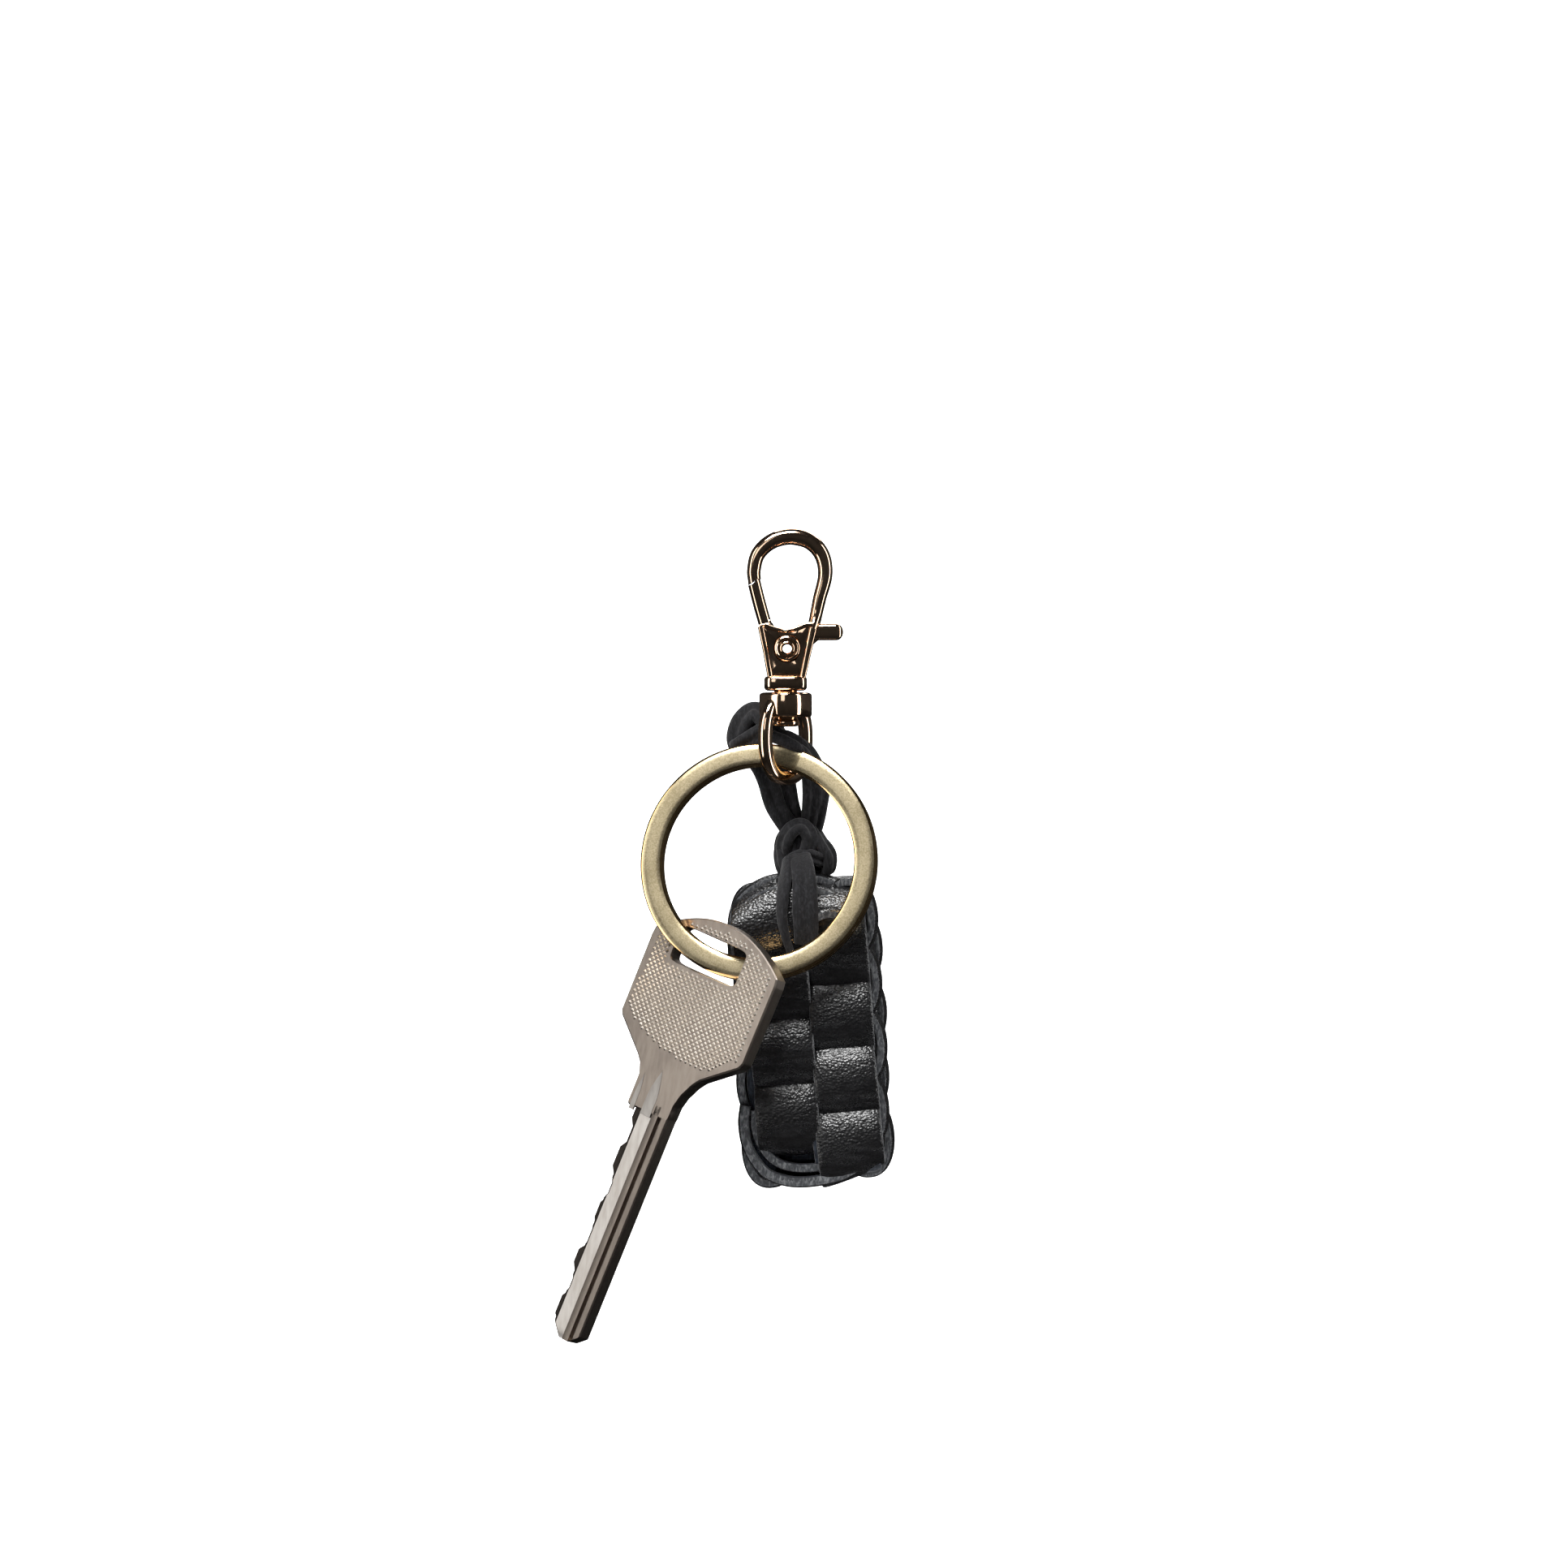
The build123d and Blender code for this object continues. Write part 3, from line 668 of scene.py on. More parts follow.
def bow_outline():
    """The bow and neck: an arc on top, straight sides, slanted shoulders and the stop."""
    arc_x = np.linspace(-10.8, 10.8, 60)
    arc = np.stack([arc_x, 0.8 + 3.8 * (1 - (arc_x / 10.8) ** 2)], axis=1)
    corners = np.array([(10.95, -0.2), (10.8, -10.5), (10.4, -11.2), (5.4, -14.6), (4.5, -15.6), (3.5, -17.3),
                        (2.95, -19.0), (2.9, -21.0), (-4.2, -21.0), (-4.2, -17.2), (-4.9, -15.6),
                        (-5.7, -14.8), (-10.5, -11.2), (-10.9, -10.6), (-10.95, -0.2)])
    return np.vstack([arc, corners])


def blade_part(half):
    """The blade: a grooved section carried down to the tip, cut back on the left to the teeth."""
    front = [(-3.0, 0.5), (-2.0, 0.1), (-1.8, 0.0), (-1.7, 0.12), (0.15, 0.36), (0.3, 0.02), (0.4, 0.0),
             (1.3, 0.0), (1.42, 0.55), (1.85, 0.6), (1.98, 0.02), (2.75, 0.0), (2.9, 0.14)]
    back = [(2.9, 0.14), (2.75, 0.0), (1.9, 0.0), (1.75, 0.5), (0.9, 0.5), (0.75, 0.0), (-0.1, 0.0),
            (-0.3, 0.45), (-1.2, 0.3), (-1.4, 0.0), (-2.0, 0.1), (-3.0, 0.5)]
    section = np.array([(x, -half + d) for x, d in front] + [(x, half - d) for x, d in back])
    z = np.linspace(-19.6, -51.0, 260)
    cut_z = [19.6, 22.4, 23.7, 25.1, 26.4, 28.7, 30.7, 32.2, 33.6, 35.6, 37.1, 38.8, 40.1, 41.8, 43.7,
             45.0, 46.2, 48.6, 51.0]
    depth = [0.0, 0.0, 0.9, 0.9, -0.1, -0.1, 1.4, 1.4, 0.4, 0.4, 1.2, 1.2, 0.0, 0.0, 1.3, 1.3, 0.3, 0.3,
             2.8]
    left = -3.0 + np.interp(-z, cut_z, depth)
    right = np.interp(-z, [19.6, 49.8, 51.0], [2.9, 2.9, 1.3])
    x = np.clip(section[None, :, 0], left[:, None], right[:, None])
    points = np.stack([x, np.broadcast_to(section[:, 1], x.shape),
                       np.broadcast_to(z[:, None], x.shape)], axis=-1)
    vertices, quads = tube_part(points)
    pair = np.sort(np.stack([quads[:, 0] % len(section), quads[:, 2] % len(section)]), axis=0)
    # The slanted facet in the groove takes the paler nickel as a painted highlight strip; the blade's end faces
    # take it as well.
    slots = np.where((pair[0] == 3) & (pair[1] == 4), 1, 0)
    slots[(len(z) - 1) * len(section):] = 1
    return vertices, quads, slots


def knurl_part(half, side):
    """Small four-sided points in a diagonal lattice over the bow, inside a plain margin."""
    pitch, height = 0.78, 0.26
    i, j = np.meshgrid(np.arange(-44, 45), np.arange(-44, 45), indexing="ij")
    x, z = (i * 0.5 * pitch * 1.12).ravel(), (j * pitch * 0.5).ravel() - 5.0
    keep = ((i + j) % 2 == 0).ravel()
    limit = star_radius(bow_outline(), SLOT_MIDDLE, np.arctan2(z - SLOT_MIDDLE[1], x - SLOT_MIDDLE[0]))
    near_rim = np.hypot(x - SLOT_MIDDLE[0], z - SLOT_MIDDLE[1]) > limit - 1.05
    low = z < -13.2 + 0.02 * x**2 - 0.10 * x
    in_slot = (np.abs(x - SLOT_MIDDLE[0]) < 6.1) & (np.abs(z) < 2.75)
    keep &= ~near_rim & ~low & ~in_slot
    x, z = x[keep], z[keep]
    reach = pitch * 0.34
    corner = np.array([(reach * 1.12, 0, 0), (0, 0, reach), (-reach * 1.12, 0, 0), (0, 0, -reach),
                       (0, side * height, 0)])
    centre = np.stack([x, np.full(len(x), side * (half - 0.01)), z], axis=1)
    vertices = (centre[:, None] + corner).reshape(-1, 3)
    one = np.array([(0, 1, 4, 4), (1, 2, 4, 4), (2, 3, 4, 4), (3, 0, 4, 4)])
    quads = (np.arange(len(x))[:, None, None] * 5 + one).reshape(-1, 4)
    # Slot 2 is the pale knurl nickel, which paints a glint on each point.
    return vertices, quads if side < 0 else quads[:, ::-1], np.full(len(quads), 2)


def runout_part(half, x, top, bottom, width):
    """The rounded start of a milled groove on the neck: a slim lens, barely proud of the face."""
    t = np.linspace(0, 1, 24)
    wide = width / 2 * np.sin(np.clip(t * 1.5, 0, 1) * np.pi / 2)
    z = top + (bottom - top) * t
    outline = np.vstack([np.stack([x - wide, z], axis=1), np.stack([x + wide, z], axis=1)[::-1]])
    return plate_part(outline, -half - 0.03, -half + 0.2, 0.02)


def key_parts():
    """Bow, blade, the groove ends and both knurled faces, set in the key's own place."""
    rotation, origin = key_frame()
    half = 0.95
    parts = [holed_plate(bow_outline(), SLOT_MIDDLE, slot_radius, -half, half, 0.14, 720), blade_part(half)]
    # The groove ends are flat lenses in the paler nickel, which paints the highlight their hollows would catch.
    for x, top, width in ((-0.75, -15.4, 1.75), (-3.3, -16.6, 0.8)):
        vertices, quads = runout_part(half, x, top, -21.4, width)
        parts.append((vertices, quads, np.ones(len(quads), int)))
    parts += [knurl_part(half, -1), knurl_part(half, 1)]
    return [(placed(part[0], rotation, origin), *part[1:]) for part in parts]


# ------------------------------------------------------------------ laces and knot
def lace_section(width, thickness, count=36):
    """A folded lace: a rounded outline pinched along the middle of both wide faces."""
    outline = superellipse(width, thickness, 2.5, count)
    pinch = np.exp(-((outline[:, 0] / (0.16 * width)) ** 2))
    outline[:, 1] *= 1 - 0.42 * pinch
    return outline


def lace_part(points, width, thickness, normal, count=150, sizes=(1, 1), seed=0):
    """A folded lace along a smooth curve through the points. Its width varies gently: the factor is
    one plus a small sum of two sines of the length."""
    path = spline(points, count)
    t = np.linspace(0, 1, count)
    wobble = 1 + 0.035 * np.sin(17 * t + seed) + 0.025 * np.sin(41 * t + 2.1 * seed)
    size = widths(sizes, count) * wobble
    normals = unit(spline(normal, count)) if np.ndim(normal) == 2 else normal
    return tube_part(domed(swept(path, lace_section(width, thickness), normals,
                                 np.stack([size, 2 - wobble], axis=1)), 0.4))


def padded_turn(points, count=110):
    """A closed smooth curve through the points, with two of its points repeated at each end, so that
    the directions at the seam come out right."""
    path = closed_curve(points, count)
    return np.vstack([path[-2:], path, path[:2]])


def lace_turn(path, outward, width, thickness):
    """A closed turn of lace along a padded curve, with its wide face turned outward."""
    rings = swept(path, lace_section(width, thickness, 28), unit(outward))
    return tube_part(rings[2:-2], wrap_rows=True)


def hanging_lace_parts(width):
    """Two strands of the loop: up from the knot, over at the upper left, through the eye and down."""
    outer = [(0.6, 4.2, -32.2), (-1.2, 4.0, -29.4), (-2.2, 3.9, -26.2), (-3.6, 4.0, -23.4),
             (-5.9, 4.0, -21.2), (-5.6, 3.7, -18.8), (-4.0, 3.3, -17.3), (-2.6, 2.6, -18.4),
             (-1.4, 1.3, -20.2), (0.3, 0.4, -20.9), (1.9, 1.0, -22.0), (3.0, 2.6, -24.4),
             (3.2, 3.5, -27.0), (3.1, 4.0, -29.8), (2.8, 4.4, -32.2)]
    inner = [(1.4, 4.6, -32.0), (0.6, 4.4, -29.2), (0.1, 4.3, -26.4), (-1.0, 4.3, -23.8),
             (-3.2, 4.6, -22.0), (-4.4, 4.7, -20.0), (-3.6, 4.4, -18.4), (-2.0, 3.3, -18.9),
             (-0.8, 1.6, -20.4), (0.9, 0.9, -21.2), (2.7, 1.6, -22.4), (4.1, 3.1, -25.0),
             (4.6, 3.9, -27.2), (4.3, 4.4, -29.8), (3.6, 4.6, -32.2)]
    around = [(-6.0, 3.1, -22.0), (-4.1, 2.1, -20.8), (-1.8, 2.7, -19.4), (-1.2, 3.9, -18.6),
              (-3.0, 5.2, -19.2), (-5.5, 5.0, -21.4)]
    bend = padded_turn(around)
    wrapped = lace_turn(bend, bend - bend.mean(0), width * 1.15, 1.5)
    front = [(0, -1, 0)] * 4 + [(-0.3, -0.8, 0.4), (-0.5, -0.7, 0.5), (0, -0.7, 0.7), (0.3, -0.5, 0.8)]
    front += [(0.2, -0.8, 0.5), (0.2, -0.9, 0.4), (0.4, -0.9, 0.3)] + [(0.2, -1, 0.1)] * 4
    sizes = (1, 1, 1, 1.1, 1.2, 1.2, 1.1, 1.1, 1.0, 0.95, 0.9, 0.85, 0.85, 0.85, 0.9)
    return [wrapped,
            lace_part(outer, width * 1.1, 1.75, np.array(front, float), 220, sizes, 1.0),
            lace_part(inner, width, 1.6, np.array(front, float), 220, sizes, 2.4)]


def knot_parts(width):
    """The knot's tight turns: each a closed smooth curve of lace about the knot's middle, pressed
    against the others, with its wide face turned away from the middle."""
    middle = node_middle("lace_knot") - [0.75, 0, 0]
    upper = [(-1.2, -0.8, -1.6), (-1.8, -2.0, 0.4), (-1.0, -2.7, 2.3), (0.5, -2.7, 2.9),
             (1.5, -2.4, 1.4), (1.1, -2.0, -0.6), (0.4, 0.4, -1.8)]
    right = [(1.7, 0.0, 2.4), (2.9, -1.6, 0.9), (4.0, -1.7, -1.0), (3.6, -0.9, -2.9), (1.8, 1.2, -2.7),
             (0.8, 2.0, -0.2)]
    left = [(-2.0, -0.4, 0.6), (-2.2, -1.4, -1.4), (-1.3, -1.2, -3.2), (0.6, 0.6, -2.6),
            (-0.2, 2.0, 0.0)]
    band = [(-1.0, -2.0, -1.4), (0.9, -2.6, -0.8), (2.9, -1.9, -1.4), (3.4, 0.8, -1.6),
            (1.2, 2.6, -1.6), (-1.6, 1.6, -1.4)]
    back = [(-1.6, 1.0, 1.8), (0.4, 2.4, 2.2), (2.2, 1.6, 1.2), (2.0, 2.6, -1.2), (-0.6, 2.8, -1.8),
            (-2.0, 1.8, -0.4)]
    parts = []
    for turn, size in ((upper, 1.0), (right, 1.05), (left, 0.95), (band, 0.8), (back, 1.1)):
        path = padded_turn(turn)
        parts.append(lace_turn(path + middle, path, width * size, 1.55))
    inside = np.array([(-0.4, -1.2, 2.2), (-0.1, -1.9, 1.0), (0.2, -1.9, -0.4), (0.7, -1.2, -1.8)]) + middle
    parts.append(lace_part(inside, width * 1.1, 1.5, (0, -1, 0), 40))
    return parts


def tail_parts(width):
    """The end of the lace, folded lengthways: a flat front half and a narrower half turned to the left,
    which ends in a point."""
    rotation, origin = fob_frame()
    front = [(0.9, -5.6, 21.8), (1.2, -7.4, 20.6), (1.4, -8.9, 18.4), (1.3, -9.4, 15.4),
             (1.2, -9.35, 12.4), (1.1, -9.1, 10.8)]
    side = [(-0.7, -5.8, 21.4), (-0.9, -7.2, 19.8), (-1.4, -8.7, 17.2), (-1.7, -9.2, 14.4),
            (-1.4, -9.3, 11.8), (-0.9, -9.2, 9.7)]
    count = 90
    parts = [tube_part(domed(swept(spline(front, count), lace_section(3.3 * width / 2.3, 1.1), (0.12, -1, 0),
                                   np.stack([widths((0.8, 0.95, 1, 1, 0.98, 0.9), count)] * 2, 1)), 0.2))]
    taper = np.stack([widths((0.8, 0.9, 1.1, 1.15, 0.85, 0.22), count), np.ones(count)], axis=1)
    parts.append(tube_part(domed(swept(spline(side, count), superellipse(2.0 * width / 2.3, 1.1, 3.0, 32),
                                       (-0.75, -0.66, 0.0), taper), 0.15)))
    return [(placed(part[0], rotation, origin), *part[1:]) for part in parts]


# ------------------------------------------------------------------ braid
def fob_frame():
    """Rotation and origin of the braid: its front face towards -Y."""
    return turn_about("z", -3.0) @ turn_about("y", -3.9), node_middle("braid_core")


def strip_part(path, across, width, thickness, sizes=None, count=44):
    """A flat lace: a squared section carried along a path. Slot 0 is the grain side, which faces away
    from the braid's middle, slot 1 the cut edges and slot 2 the flesh side."""
    path = np.asarray(path, float)
    tangent = unit(np.gradient(path, axis=0))
    across = np.broadcast_to(np.asarray(across, float), path.shape)
    outward = unit(np.cross(tangent, across))
    section = superellipse(width, thickness, 7.0, count)
    crown = 0.22 * (1 - (2 * section[:, 0] / width) ** 2)
    section[:, 1] += crown
    scale = np.ones((len(path), 2)) if sizes is None else np.stack([sizes, np.ones(len(path))], axis=1)
    vertices, quads = tube_part(swept(path, section, outward, scale))
    x = (section[:, 0] / (width / 2))[quads % count][:, [0, 2]].mean(1)
    y = ((section[:, 1] - crown) / (thickness / 2))[quads % count][:, [0, 2]].mean(1)
    slots = np.where(np.abs(x) > 0.965, 1, np.where(y > 0, 0, 2))
    slots[(len(path) - 1) * count:] = 1
    return vertices, quads, slots


def wrap_path(middle, reach, base, height, count=36):
    """Half a turn of lace in the Y and Z plane: z = middle + reach cos(a) and y = -(base + height
    sin(a)^0.8), with a running a little past both ends of the half turn so that the ends tuck in."""
    a = np.linspace(-0.42, np.pi + 0.42, count)
    out = np.sign(np.sin(a)) * np.abs(np.sin(a)) ** 0.8
    return np.stack([np.zeros(count), -(base + height * out), middle + reach * np.cos(a)], axis=1)


def filler_part(middle, x, y, width, tall, deep):
    """The folded lace inside a wrap, seen from its side: a rounded oblong carried across the wrap."""
    t = np.linspace(-1, 1, 14)
    path = np.stack([x + t * width / 2, np.full(14, y), np.full(14, middle)], axis=1)
    size = (1 - 0.10 * t**8)[:, None] * [1, 1]
    return tube_part(domed(swept(path, superellipse(tall, deep, 2.3, 30), BACK, size), 0.25))


def face_wraps(s, turn, width, base, shift):
    """Two columns of wraps on one face, half a pitch apart. Small seeded changes in width, height and
    tilt keep the wraps from being copies of each other."""
    rotation, origin = fob_frame()
    face = rotation @ turn_about("z", turn)
    rng = np.random.default_rng(int(turn) + 5)
    parts = []
    for column, side in enumerate((-1, 1)):
        raised = column == 0
        for row in range(4):
            middle = 9.5 + (s.pitch / 2 if raised else 0) - row * s.pitch
            jitter = rng.normal(0, 1, 4)
            first, last = turn == 0 and raised and row == 0, turn == 0 and not raised and row == 3
            reach = s.pitch * (0.58 if first else 0.51 if last else 0.535)
            path = wrap_path(middle + (0.2 if first else 0.5 if last else 0), reach,
                             base, 2.75 + (0.3 if first else 0) + 0.1 * jitter[0])
            t = np.linspace(-1, 1, len(path))
            whole = 1.06 if last else 1.16 if first else 1.0
            size = whole * (0.965 + 0.06 * np.cos(t * np.pi / 2)) + 0.008 * jitter[1]
            tilt = turn_about("y", 1.3 * jitter[2])
            x = side * width * 0.497 + shift - (0.9 if first else 0)
            path = (path - [0, 0, middle]) @ tilt.T + [x, 0, middle]
            part = strip_part(path, tilt @ np.array([1.0, 0, 0]), width, s.lace_thickness, size)
            if first:
                part = sloped(part, 0.42, middle - 1.0, middle + 4.5, x + 1.5)
            if last:
                part = sloped(part, 0.30, middle + 1.5, middle - 4.0, x)
            parts.append((placed(part[0], face, origin), *part[1:]))
            vertices, quads = filler_part(middle, x, -base - 0.5, width - 0.5, s.pitch * 0.93, 3.4)
            parts.append((placed(vertices, face, origin), quads, np.full(len(quads), 2)))
    return parts


def sloped(part, slope, from_z, to_z, middle_x):
    """A strip whose height rises by slope for each step in X, in full past to_z and not at all past
    from_z, with a smooth step in between."""
    points = part[0].copy()
    share = smooth((points[:, 2] - from_z) / (to_z - from_z))
    points[:, 2] += slope * (points[:, 0] - middle_x) * share
    return (points, *part[1:])


def core_part(half, length, power=4.0):
    """The dark bundle inside the braid: a rounded square column whose ends close in a quarter circle."""
    turn = np.linspace(0.02, np.pi / 2, 8)
    levels = [(-length + 3 * (1 - np.sin(a)), 0.55 + 0.45 * np.sin(a)) for a in turn]
    levels += [(-z, scale) for z, scale in levels[::-1]]
    return column_part(superellipse(2 * half, 2 * half, power, 64), levels)


def end_parts(s, end):
    """The laces that close the braid. At the top: one over the shoulders, one front to back and the
    folds beneath. At the bottom: a lace that turns under the left side, its lining and one across."""
    thick = s.lace_thickness
    if end > 0:
        shoulder = [(-8.3, 0.8, 7.0), (-8.5, 0.8, 12.0), (-7.6, 0.7, 15.9), (-4.6, 0.3, 18.3),
                    (-0.6, 0.0, 18.9), (3.4, 0.0, 18.4), (6.6, 0.2, 16.4), (8.2, 0.4, 13.0),
                    (8.4, 0.6, 8.5)]
        inner = [(-8.0, -4.2, 8.5), (-8.1, -4.4, 12.5), (-6.8, -4.6, 15.6), (-3.8, -4.9, 17.3),
                 (-0.6, -5.0, 17.8), (2.8, -4.8, 17.2), (5.8, -4.6, 15.4), (7.5, -4.4, 12.5),
                 (7.9, -4.2, 9.0)]
        over = [(3.9, -7.5, 12.0), (3.8, -7.9, 14.0), (3.6, -6.6, 16.3), (3.4, -3.2, 17.3),
                (3.2, 2.0, 17.7), (3.0, 6.6, 15.8), (3.0, 8.0, 11.5)]
        fold = [(0.6, -8.0, 11.6), (2.4, -8.1, 14.0), (4.6, -7.7, 14.6), (6.8, -6.9, 13.6),
                (7.7, -5.6, 11.4)]
        return [strip_part(spline(shoulder, 90), BACK, 8.6, thick * 1.1,
                           widths((1, 1, 1.02, 1, 1, 0.98, 1, 1, 1), 90)),
                strip_part(spline(inner, 90), BACK, 5.4, thick),
                strip_part(spline(over, 70), (-1, 0, 0), s.lace_width * 0.92, thick),
                strip_part(spline(fold, 50), (0.1, 1.0, 0.35), 2.6, thick)]
    under = [(-8.0, -3.6, -9.3), (-8.35, -3.7, -11.6), (-7.9, -3.8, -14.6), (-6.0, -3.9, -17.6),
             (-3.0, -3.9, -18.9), (0.6, -3.8, -19.0), (4.2, -3.4, -18.3), (7.2, -3.0, -16.2),
             (8.2, -2.8, -12.6)]
    lining = [(-6.9, -3.6, -9.8), (-7.0, -3.6, -12.0), (-6.4, -3.6, -14.2), (-4.8, -3.6, -16.3),
              (-2.4, -3.6, -17.3), (0.6, -3.6, -17.4), (3.6, -3.4, -16.8)]
    behind = [(-8.0, 4.0, -9.0), (-7.9, 4.0, -13.5), (-5.6, 4.0, -17.4), (-1.0, 4.0, -18.6),
              (3.6, 4.0, -18.2), (6.8, 4.0, -16.0), (7.9, 4.0, -11.5)]
    across = [(3.6, -7.4, -13.0), (3.8, -6.4, -16.9), (3.9, -2.4, -18.1), (3.9, 3.0, -18.3),
              (3.9, 7.0, -16.2), (3.9, 8.0, -12.0)]
    return [strip_part(spline(under, 90), -BACK, s.lace_width, thick * 1.25),
            strip_part(spline(lining, 70), -BACK, s.lace_width * 0.9, thick * 1.1),
            strip_part(spline(behind, 80), -BACK, s.lace_width * 0.94, thick),
            strip_part(spline(across, 70), (-1, 0, 0), s.lace_width * 0.92, thick)]


def braid_place(parts):
    rotation, origin = fob_frame()
    return [(placed(part[0], rotation, origin), *part[1:]) for part in parts]


# ------------------------------------------------------------------ operators
def settings():
    return bpy.context.scene.key_fob


def soft_light(name, place, size, power, target, colour=(1.0, 1.0, 1.0)):
    """An area light at a place, turned to face the target."""
    light = bpy.data.lights.new(name, "AREA")
    light.shape, light.size, light.size_y = "RECTANGLE", size[0], size[1]
    light.energy, light.color = power, colour
    thing = bpy.data.objects.new(name, light)
    thing.location = place
    thing.rotation_euler = aim(place, target)
    bpy.context.scene.collection.objects.link(thing)


def aim(place, target):
    """The turn that points an object's own -Z from place to target, with its Y kept up."""
    from mathutils import Vector
    return (Vector(target) - Vector(place)).to_track_quat("-Z", "Y").to_euler()


class KEYFOB_OT_stage(bpy.types.Operator):
    """Adds the floor that curves up into a backdrop, the soft lights and the camera"""

    bl_idname = "keyfob.stage"
    bl_label = "Stage"

    def execute(self, context):
        scene = context.scene
        low, high = (np.array(v) for v in CAD_BOX)
        middle = (0.0, 0.0, float(low[2] + high[2]) / 2)
        floor, back, bend = low[2] - 0.0035, 0.65, 0.25
        t = np.linspace(0, np.pi / 2, 24)
        profile = np.vstack([[(-0.16, floor)], np.stack([back - bend + bend * np.sin(t),
                                                         floor + bend - bend * np.cos(t)], axis=1),
                             [(back, 1.3)]])
        x = np.array([-1.6, 1.6])
        points = np.stack([np.broadcast_to(x, (len(profile), 2)),
                           np.broadcast_to(profile[:, :1], (len(profile), 2)),
                           np.broadcast_to(profile[:, 1:], (len(profile), 2))], axis=-1)
        mesh = bpy.data.meshes.new("backdrop")
        mesh.from_pydata(points.reshape(-1, 3).tolist(), [],
                         grid_faces(len(profile), 2, wrap_columns=False).tolist())
        mesh.polygons.foreach_set("use_smooth", np.ones(len(mesh.polygons), bool))
        paper = Shader("white_paper", Roughness=0.9, Specular_IOR_Level=0.1, Emission_Strength=1.0)
        fibre = paper.noise(40.0, 2.0)
        away = Number(paper, paper.node("ShaderNodeSeparateXYZ", None, {0: paper.place}).outputs[1])
        paper.feed(Base_Color=paper.mixed(fibre, rgb(0.92, 0.92, 0.92), rgb(0.95, 0.95, 0.95)),
                   Emission_Color=paper.mixed(away.between(0.12, 0.45), rgb(0.6, 0.6, 0.6), rgb(1, 1, 1)))
        mesh.materials.append(paper.material)
        backdrop = bpy.data.objects.new("backdrop", mesh)
        backdrop.visible_glossy = False
        scene.collection.objects.link(backdrop)

        count, radius, bottom, top = 60, 0.78, -0.6, 0.8
        around = np.radians(np.linspace(0, 360, count, endpoint=False))
        wall = np.array([(radius * math.cos(a), radius * math.sin(a), z)
                         for z in (bottom, top) for a in around])
        tent = bpy.data.meshes.new("dark_tent")
        ring = [(k, (k + 1) % count) for k in range(count)]
        lid, base = 2 * count, 2 * count + 1
        tent.from_pydata(np.vstack([wall, [(0, 0, top), (0, 0, bottom)]]).tolist(), [],
                         [(a, b, count + b, count + a) for a, b in ring]
                         + [(count + a, count + b, lid) for a, b in ring]
                         + [(a, b, base) for a, b in ring])
        felt = Shader("black_felt", Roughness=1.0, Specular_IOR_Level=0.0)
        felt.feed(Base_Color=felt.mixed(felt.noise(60.0), rgb(0.03, 0.03, 0.03), rgb(0.04, 0.04, 0.04)))
        tent.materials.append(felt.material)
        flag = bpy.data.objects.new("dark_tent", tent)
        flag.visible_camera = False
        scene.collection.objects.link(flag)

        soft_light("light_above", (-0.12, -0.32, 0.50), (0.34, 0.22), 6.4, middle)
        soft_light("light_left", (-0.52, -0.24, 0.05), (0.22, 0.7), 1.45, middle, (1.0, 0.98, 0.95))
        soft_light("light_right", (0.52, -0.10, 0.05), (0.14, 0.7), 1.3, middle)
        soft_light("light_back", (0.10, 0.42, 0.42), (0.5, 0.2), 2.2, middle)
        soft_light("light_front", (-0.25, -0.62, 0.22), (0.26, 0.24), 0.30, middle)

        world = bpy.data.worlds.new("studio")
        world.use_nodes = True
        world.node_tree.nodes["Background"].inputs["Color"].default_value = rgb(1, 1, 1)
        world.node_tree.nodes["Background"].inputs["Strength"].default_value = 1.0
        scene.world = world
        scene.view_settings.view_transform = "Standard"

        camera = bpy.data.cameras.new("camera")
        camera.lens, camera.sensor_width, camera.sensor_fit = 100.0, 36.0, "HORIZONTAL"
        camera.clip_start, camera.clip_end = 0.01, 10.0
        eye = bpy.data.objects.new("camera", camera)
        view_width, view_middle = 0.1971, (-0.0002, -0.0265)
        eye.location = (view_middle[0], -view_width * camera.lens / camera.sensor_width, view_middle[1])
        eye.rotation_euler = (math.pi / 2, 0.0, 0.0)
        scene.collection.objects.link(eye)
        scene.camera = eye
        return {"FINISHED"}


class KEYFOB_OT_clasp(bpy.types.Operator):
    """Adds the hook frame with its collar, the gate lever and the rivet, and finishes the spring"""

    bl_idname = "keyfob.clasp"
    bl_label = "Clasp"

    def execute(self, context):
        fit(build("clasp_frame", frame_parts(), LOOKS["clasp"], 50), "clasp", "clasp_gold", "hook_frame")
        fit(build("clasp_gate_lever", lever_parts(), LOOKS["clasp"], 50), "lever", "clasp_gold", "gate_lever")
        fit(build("clasp_rivet", rivet_parts(), LOOKS["clasp"], 50), "clasp", "clasp_gold", "pivot_rivet")
        spring = frame["nodes"]["lever_spring"]
        for slot in spring.material_slots:
            slot.material = LOOKS["steel"]
        return {"FINISHED"}


class KEYFOB_OT_swivel(bpy.types.Operator):
    """Adds the copper neck and the swivel drum with its wire eye"""

    bl_idname = "keyfob.swivel"
    bl_label = "Swivel"

    def execute(self, context):
        fit(build("swivel_neck", post_parts(), [LOOKS["clasp"], LOOKS["copper"]], 50),
            "clasp", "clasp_gold", "swivel_post")
        fit(build("swivel_drum_and_eye", swivel_parts(), LOOKS["clasp"], 45), "swivel", "clasp_gold",
            "swivel_eye")
        return {"FINISHED"}


class KEYFOB_OT_ring(bpy.types.Operator):
    """Adds the split ring: two flat turns in one winding"""

    bl_idname = "keyfob.ring"
    bl_label = "Split Ring"

    def execute(self, context):
        fit(build("split_ring_turns", ring_parts(), [LOOKS["satin"], LOOKS["bright"]], 35), "ring",
            "ring_gold", "split_ring")
        return {"FINISHED"}


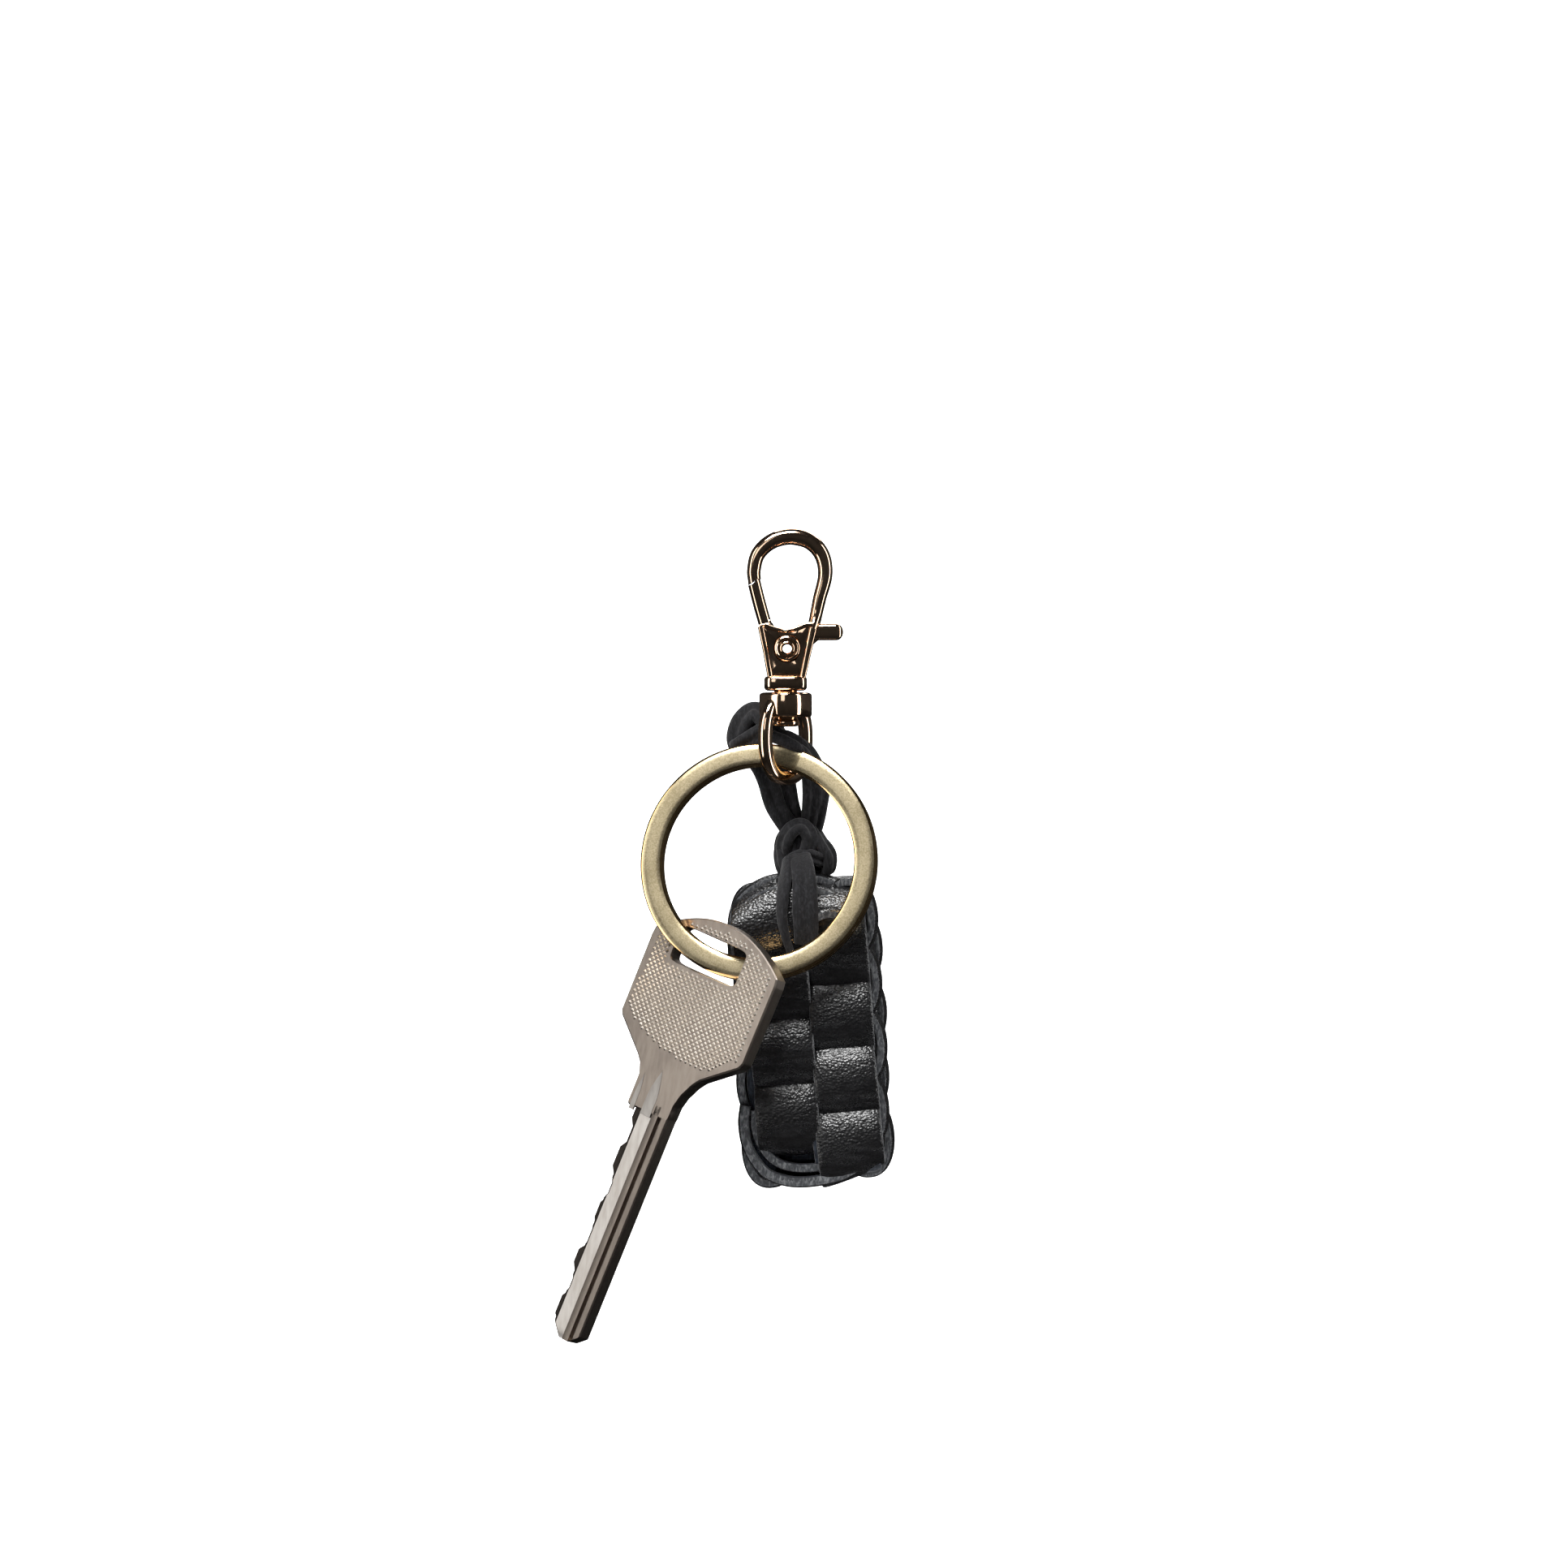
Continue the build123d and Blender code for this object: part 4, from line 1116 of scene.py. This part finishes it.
class KEYFOB_OT_key(bpy.types.Operator):
    """Adds the door key with its knurled bow, milled grooves and teeth"""

    bl_idname = "keyfob.key"
    bl_label = "Door Key"

    def execute(self, context):
        fit(build("key_bow_and_blade", key_parts(), [LOOKS["nickel"], LOOKS["milled"], LOOKS["knurl"]], 28), "key",
            "key_nickel", "door_key")
        return {"FINISHED"}


class KEYFOB_OT_lace(bpy.types.Operator):
    """Adds the looped lace, the knot and the lace's folded end"""

    bl_idname = "keyfob.lace"
    bl_label = "Lace and Knot"

    def execute(self, context):
        s = settings()
        fit(build("lace_loop", hanging_lace_parts(s.cord_width), LOOKS["lace"], 60), "fob", "lace_suede",
            "hanging_lace")
        fit(build("lace_knot_turns", knot_parts(s.cord_width), LOOKS["lace"], 60), "fob", "lace_suede",
            "lace_knot")
        fit(build("lace_end_folded", tail_parts(s.cord_width), LOOKS["lace"], 60), "fob", "lace_suede",
            "strap_tail")
        return {"FINISHED"}


class KEYFOB_OT_braid(bpy.types.Operator):
    """Adds the braid: its dark core, the wraps of each face and the laces that close both ends"""

    bl_idname = "keyfob.braid"
    bl_label = "Leather Braid"

    def execute(self, context):
        s = settings()
        leathers = [LOOKS["leather"], LOOKS["edge"], LOOKS["flesh"]]
        fit(build("braid_core_bundle", braid_place([core_part(5.0, 16.6)]), LOOKS["flesh"]), "fob",
            "braid_leather", "braid_core")
        wide, narrow = s.lace_width, s.lace_width * 0.8
        for name, turn, width, base, shift in (("front", 0, wide, 5.1, 1.0), ("right", 90, narrow, 6.6, 0.3),
                                               ("back", 180, wide, 5.35, -0.5), ("left", 270, narrow, 5.6, 0.3)):
            fit(build(f"braid_{name}_pads", face_wraps(s, turn, width, base, shift), leathers), "fob",
                "braid_leather", f"{name}_wraps")
        fit(build("braid_top_laces", braid_place(end_parts(s, 1)), leathers), "fob", "braid_leather",
            "top_crossing")
        fit(build("braid_bottom_laces", braid_place(end_parts(s, -1)), leathers), "fob", "braid_leather",
            "bottom_crossing")
        return {"FINISHED"}


STEPS = (KEYFOB_OT_stage, KEYFOB_OT_clasp, KEYFOB_OT_swivel, KEYFOB_OT_ring, KEYFOB_OT_key, KEYFOB_OT_lace,
         KEYFOB_OT_braid)


class KEYFOB_PT_panel(bpy.types.Panel):
    """Lists the settings and the steps in order"""

    bl_idname = "KEYFOB_PT_panel"
    bl_label = "Key Fob"
    bl_space_type = "VIEW_3D"
    bl_region_type = "UI"
    bl_category = "Key Fob"

    def draw(self, context):
        s = context.scene.key_fob
        for name in ("gold", "ring_gold", "nickel", "leather", "lace_width", "lace_thickness", "pitch",
                     "cord_width"):
            self.layout.prop(s, name)
        for step in STEPS:
            self.layout.operator(step.bl_idname)


def register():
    for one in (KEYFOB_Settings, *STEPS, KEYFOB_PT_panel):
        bpy.utils.register_class(one)
    bpy.types.Scene.key_fob = bpy.props.PointerProperty(type=KEYFOB_Settings)


def unregister():
    del bpy.types.Scene.key_fob
    for one in (KEYFOB_PT_panel, *reversed(STEPS), KEYFOB_Settings):
        bpy.utils.unregister_class(one)


def main():
    register()
    make_looks(settings())
    for step in STEPS:
        group, name = step.bl_idname.split(".")
        getattr(getattr(bpy.ops, group), name)()


if __name__ == "__main__":
    main()
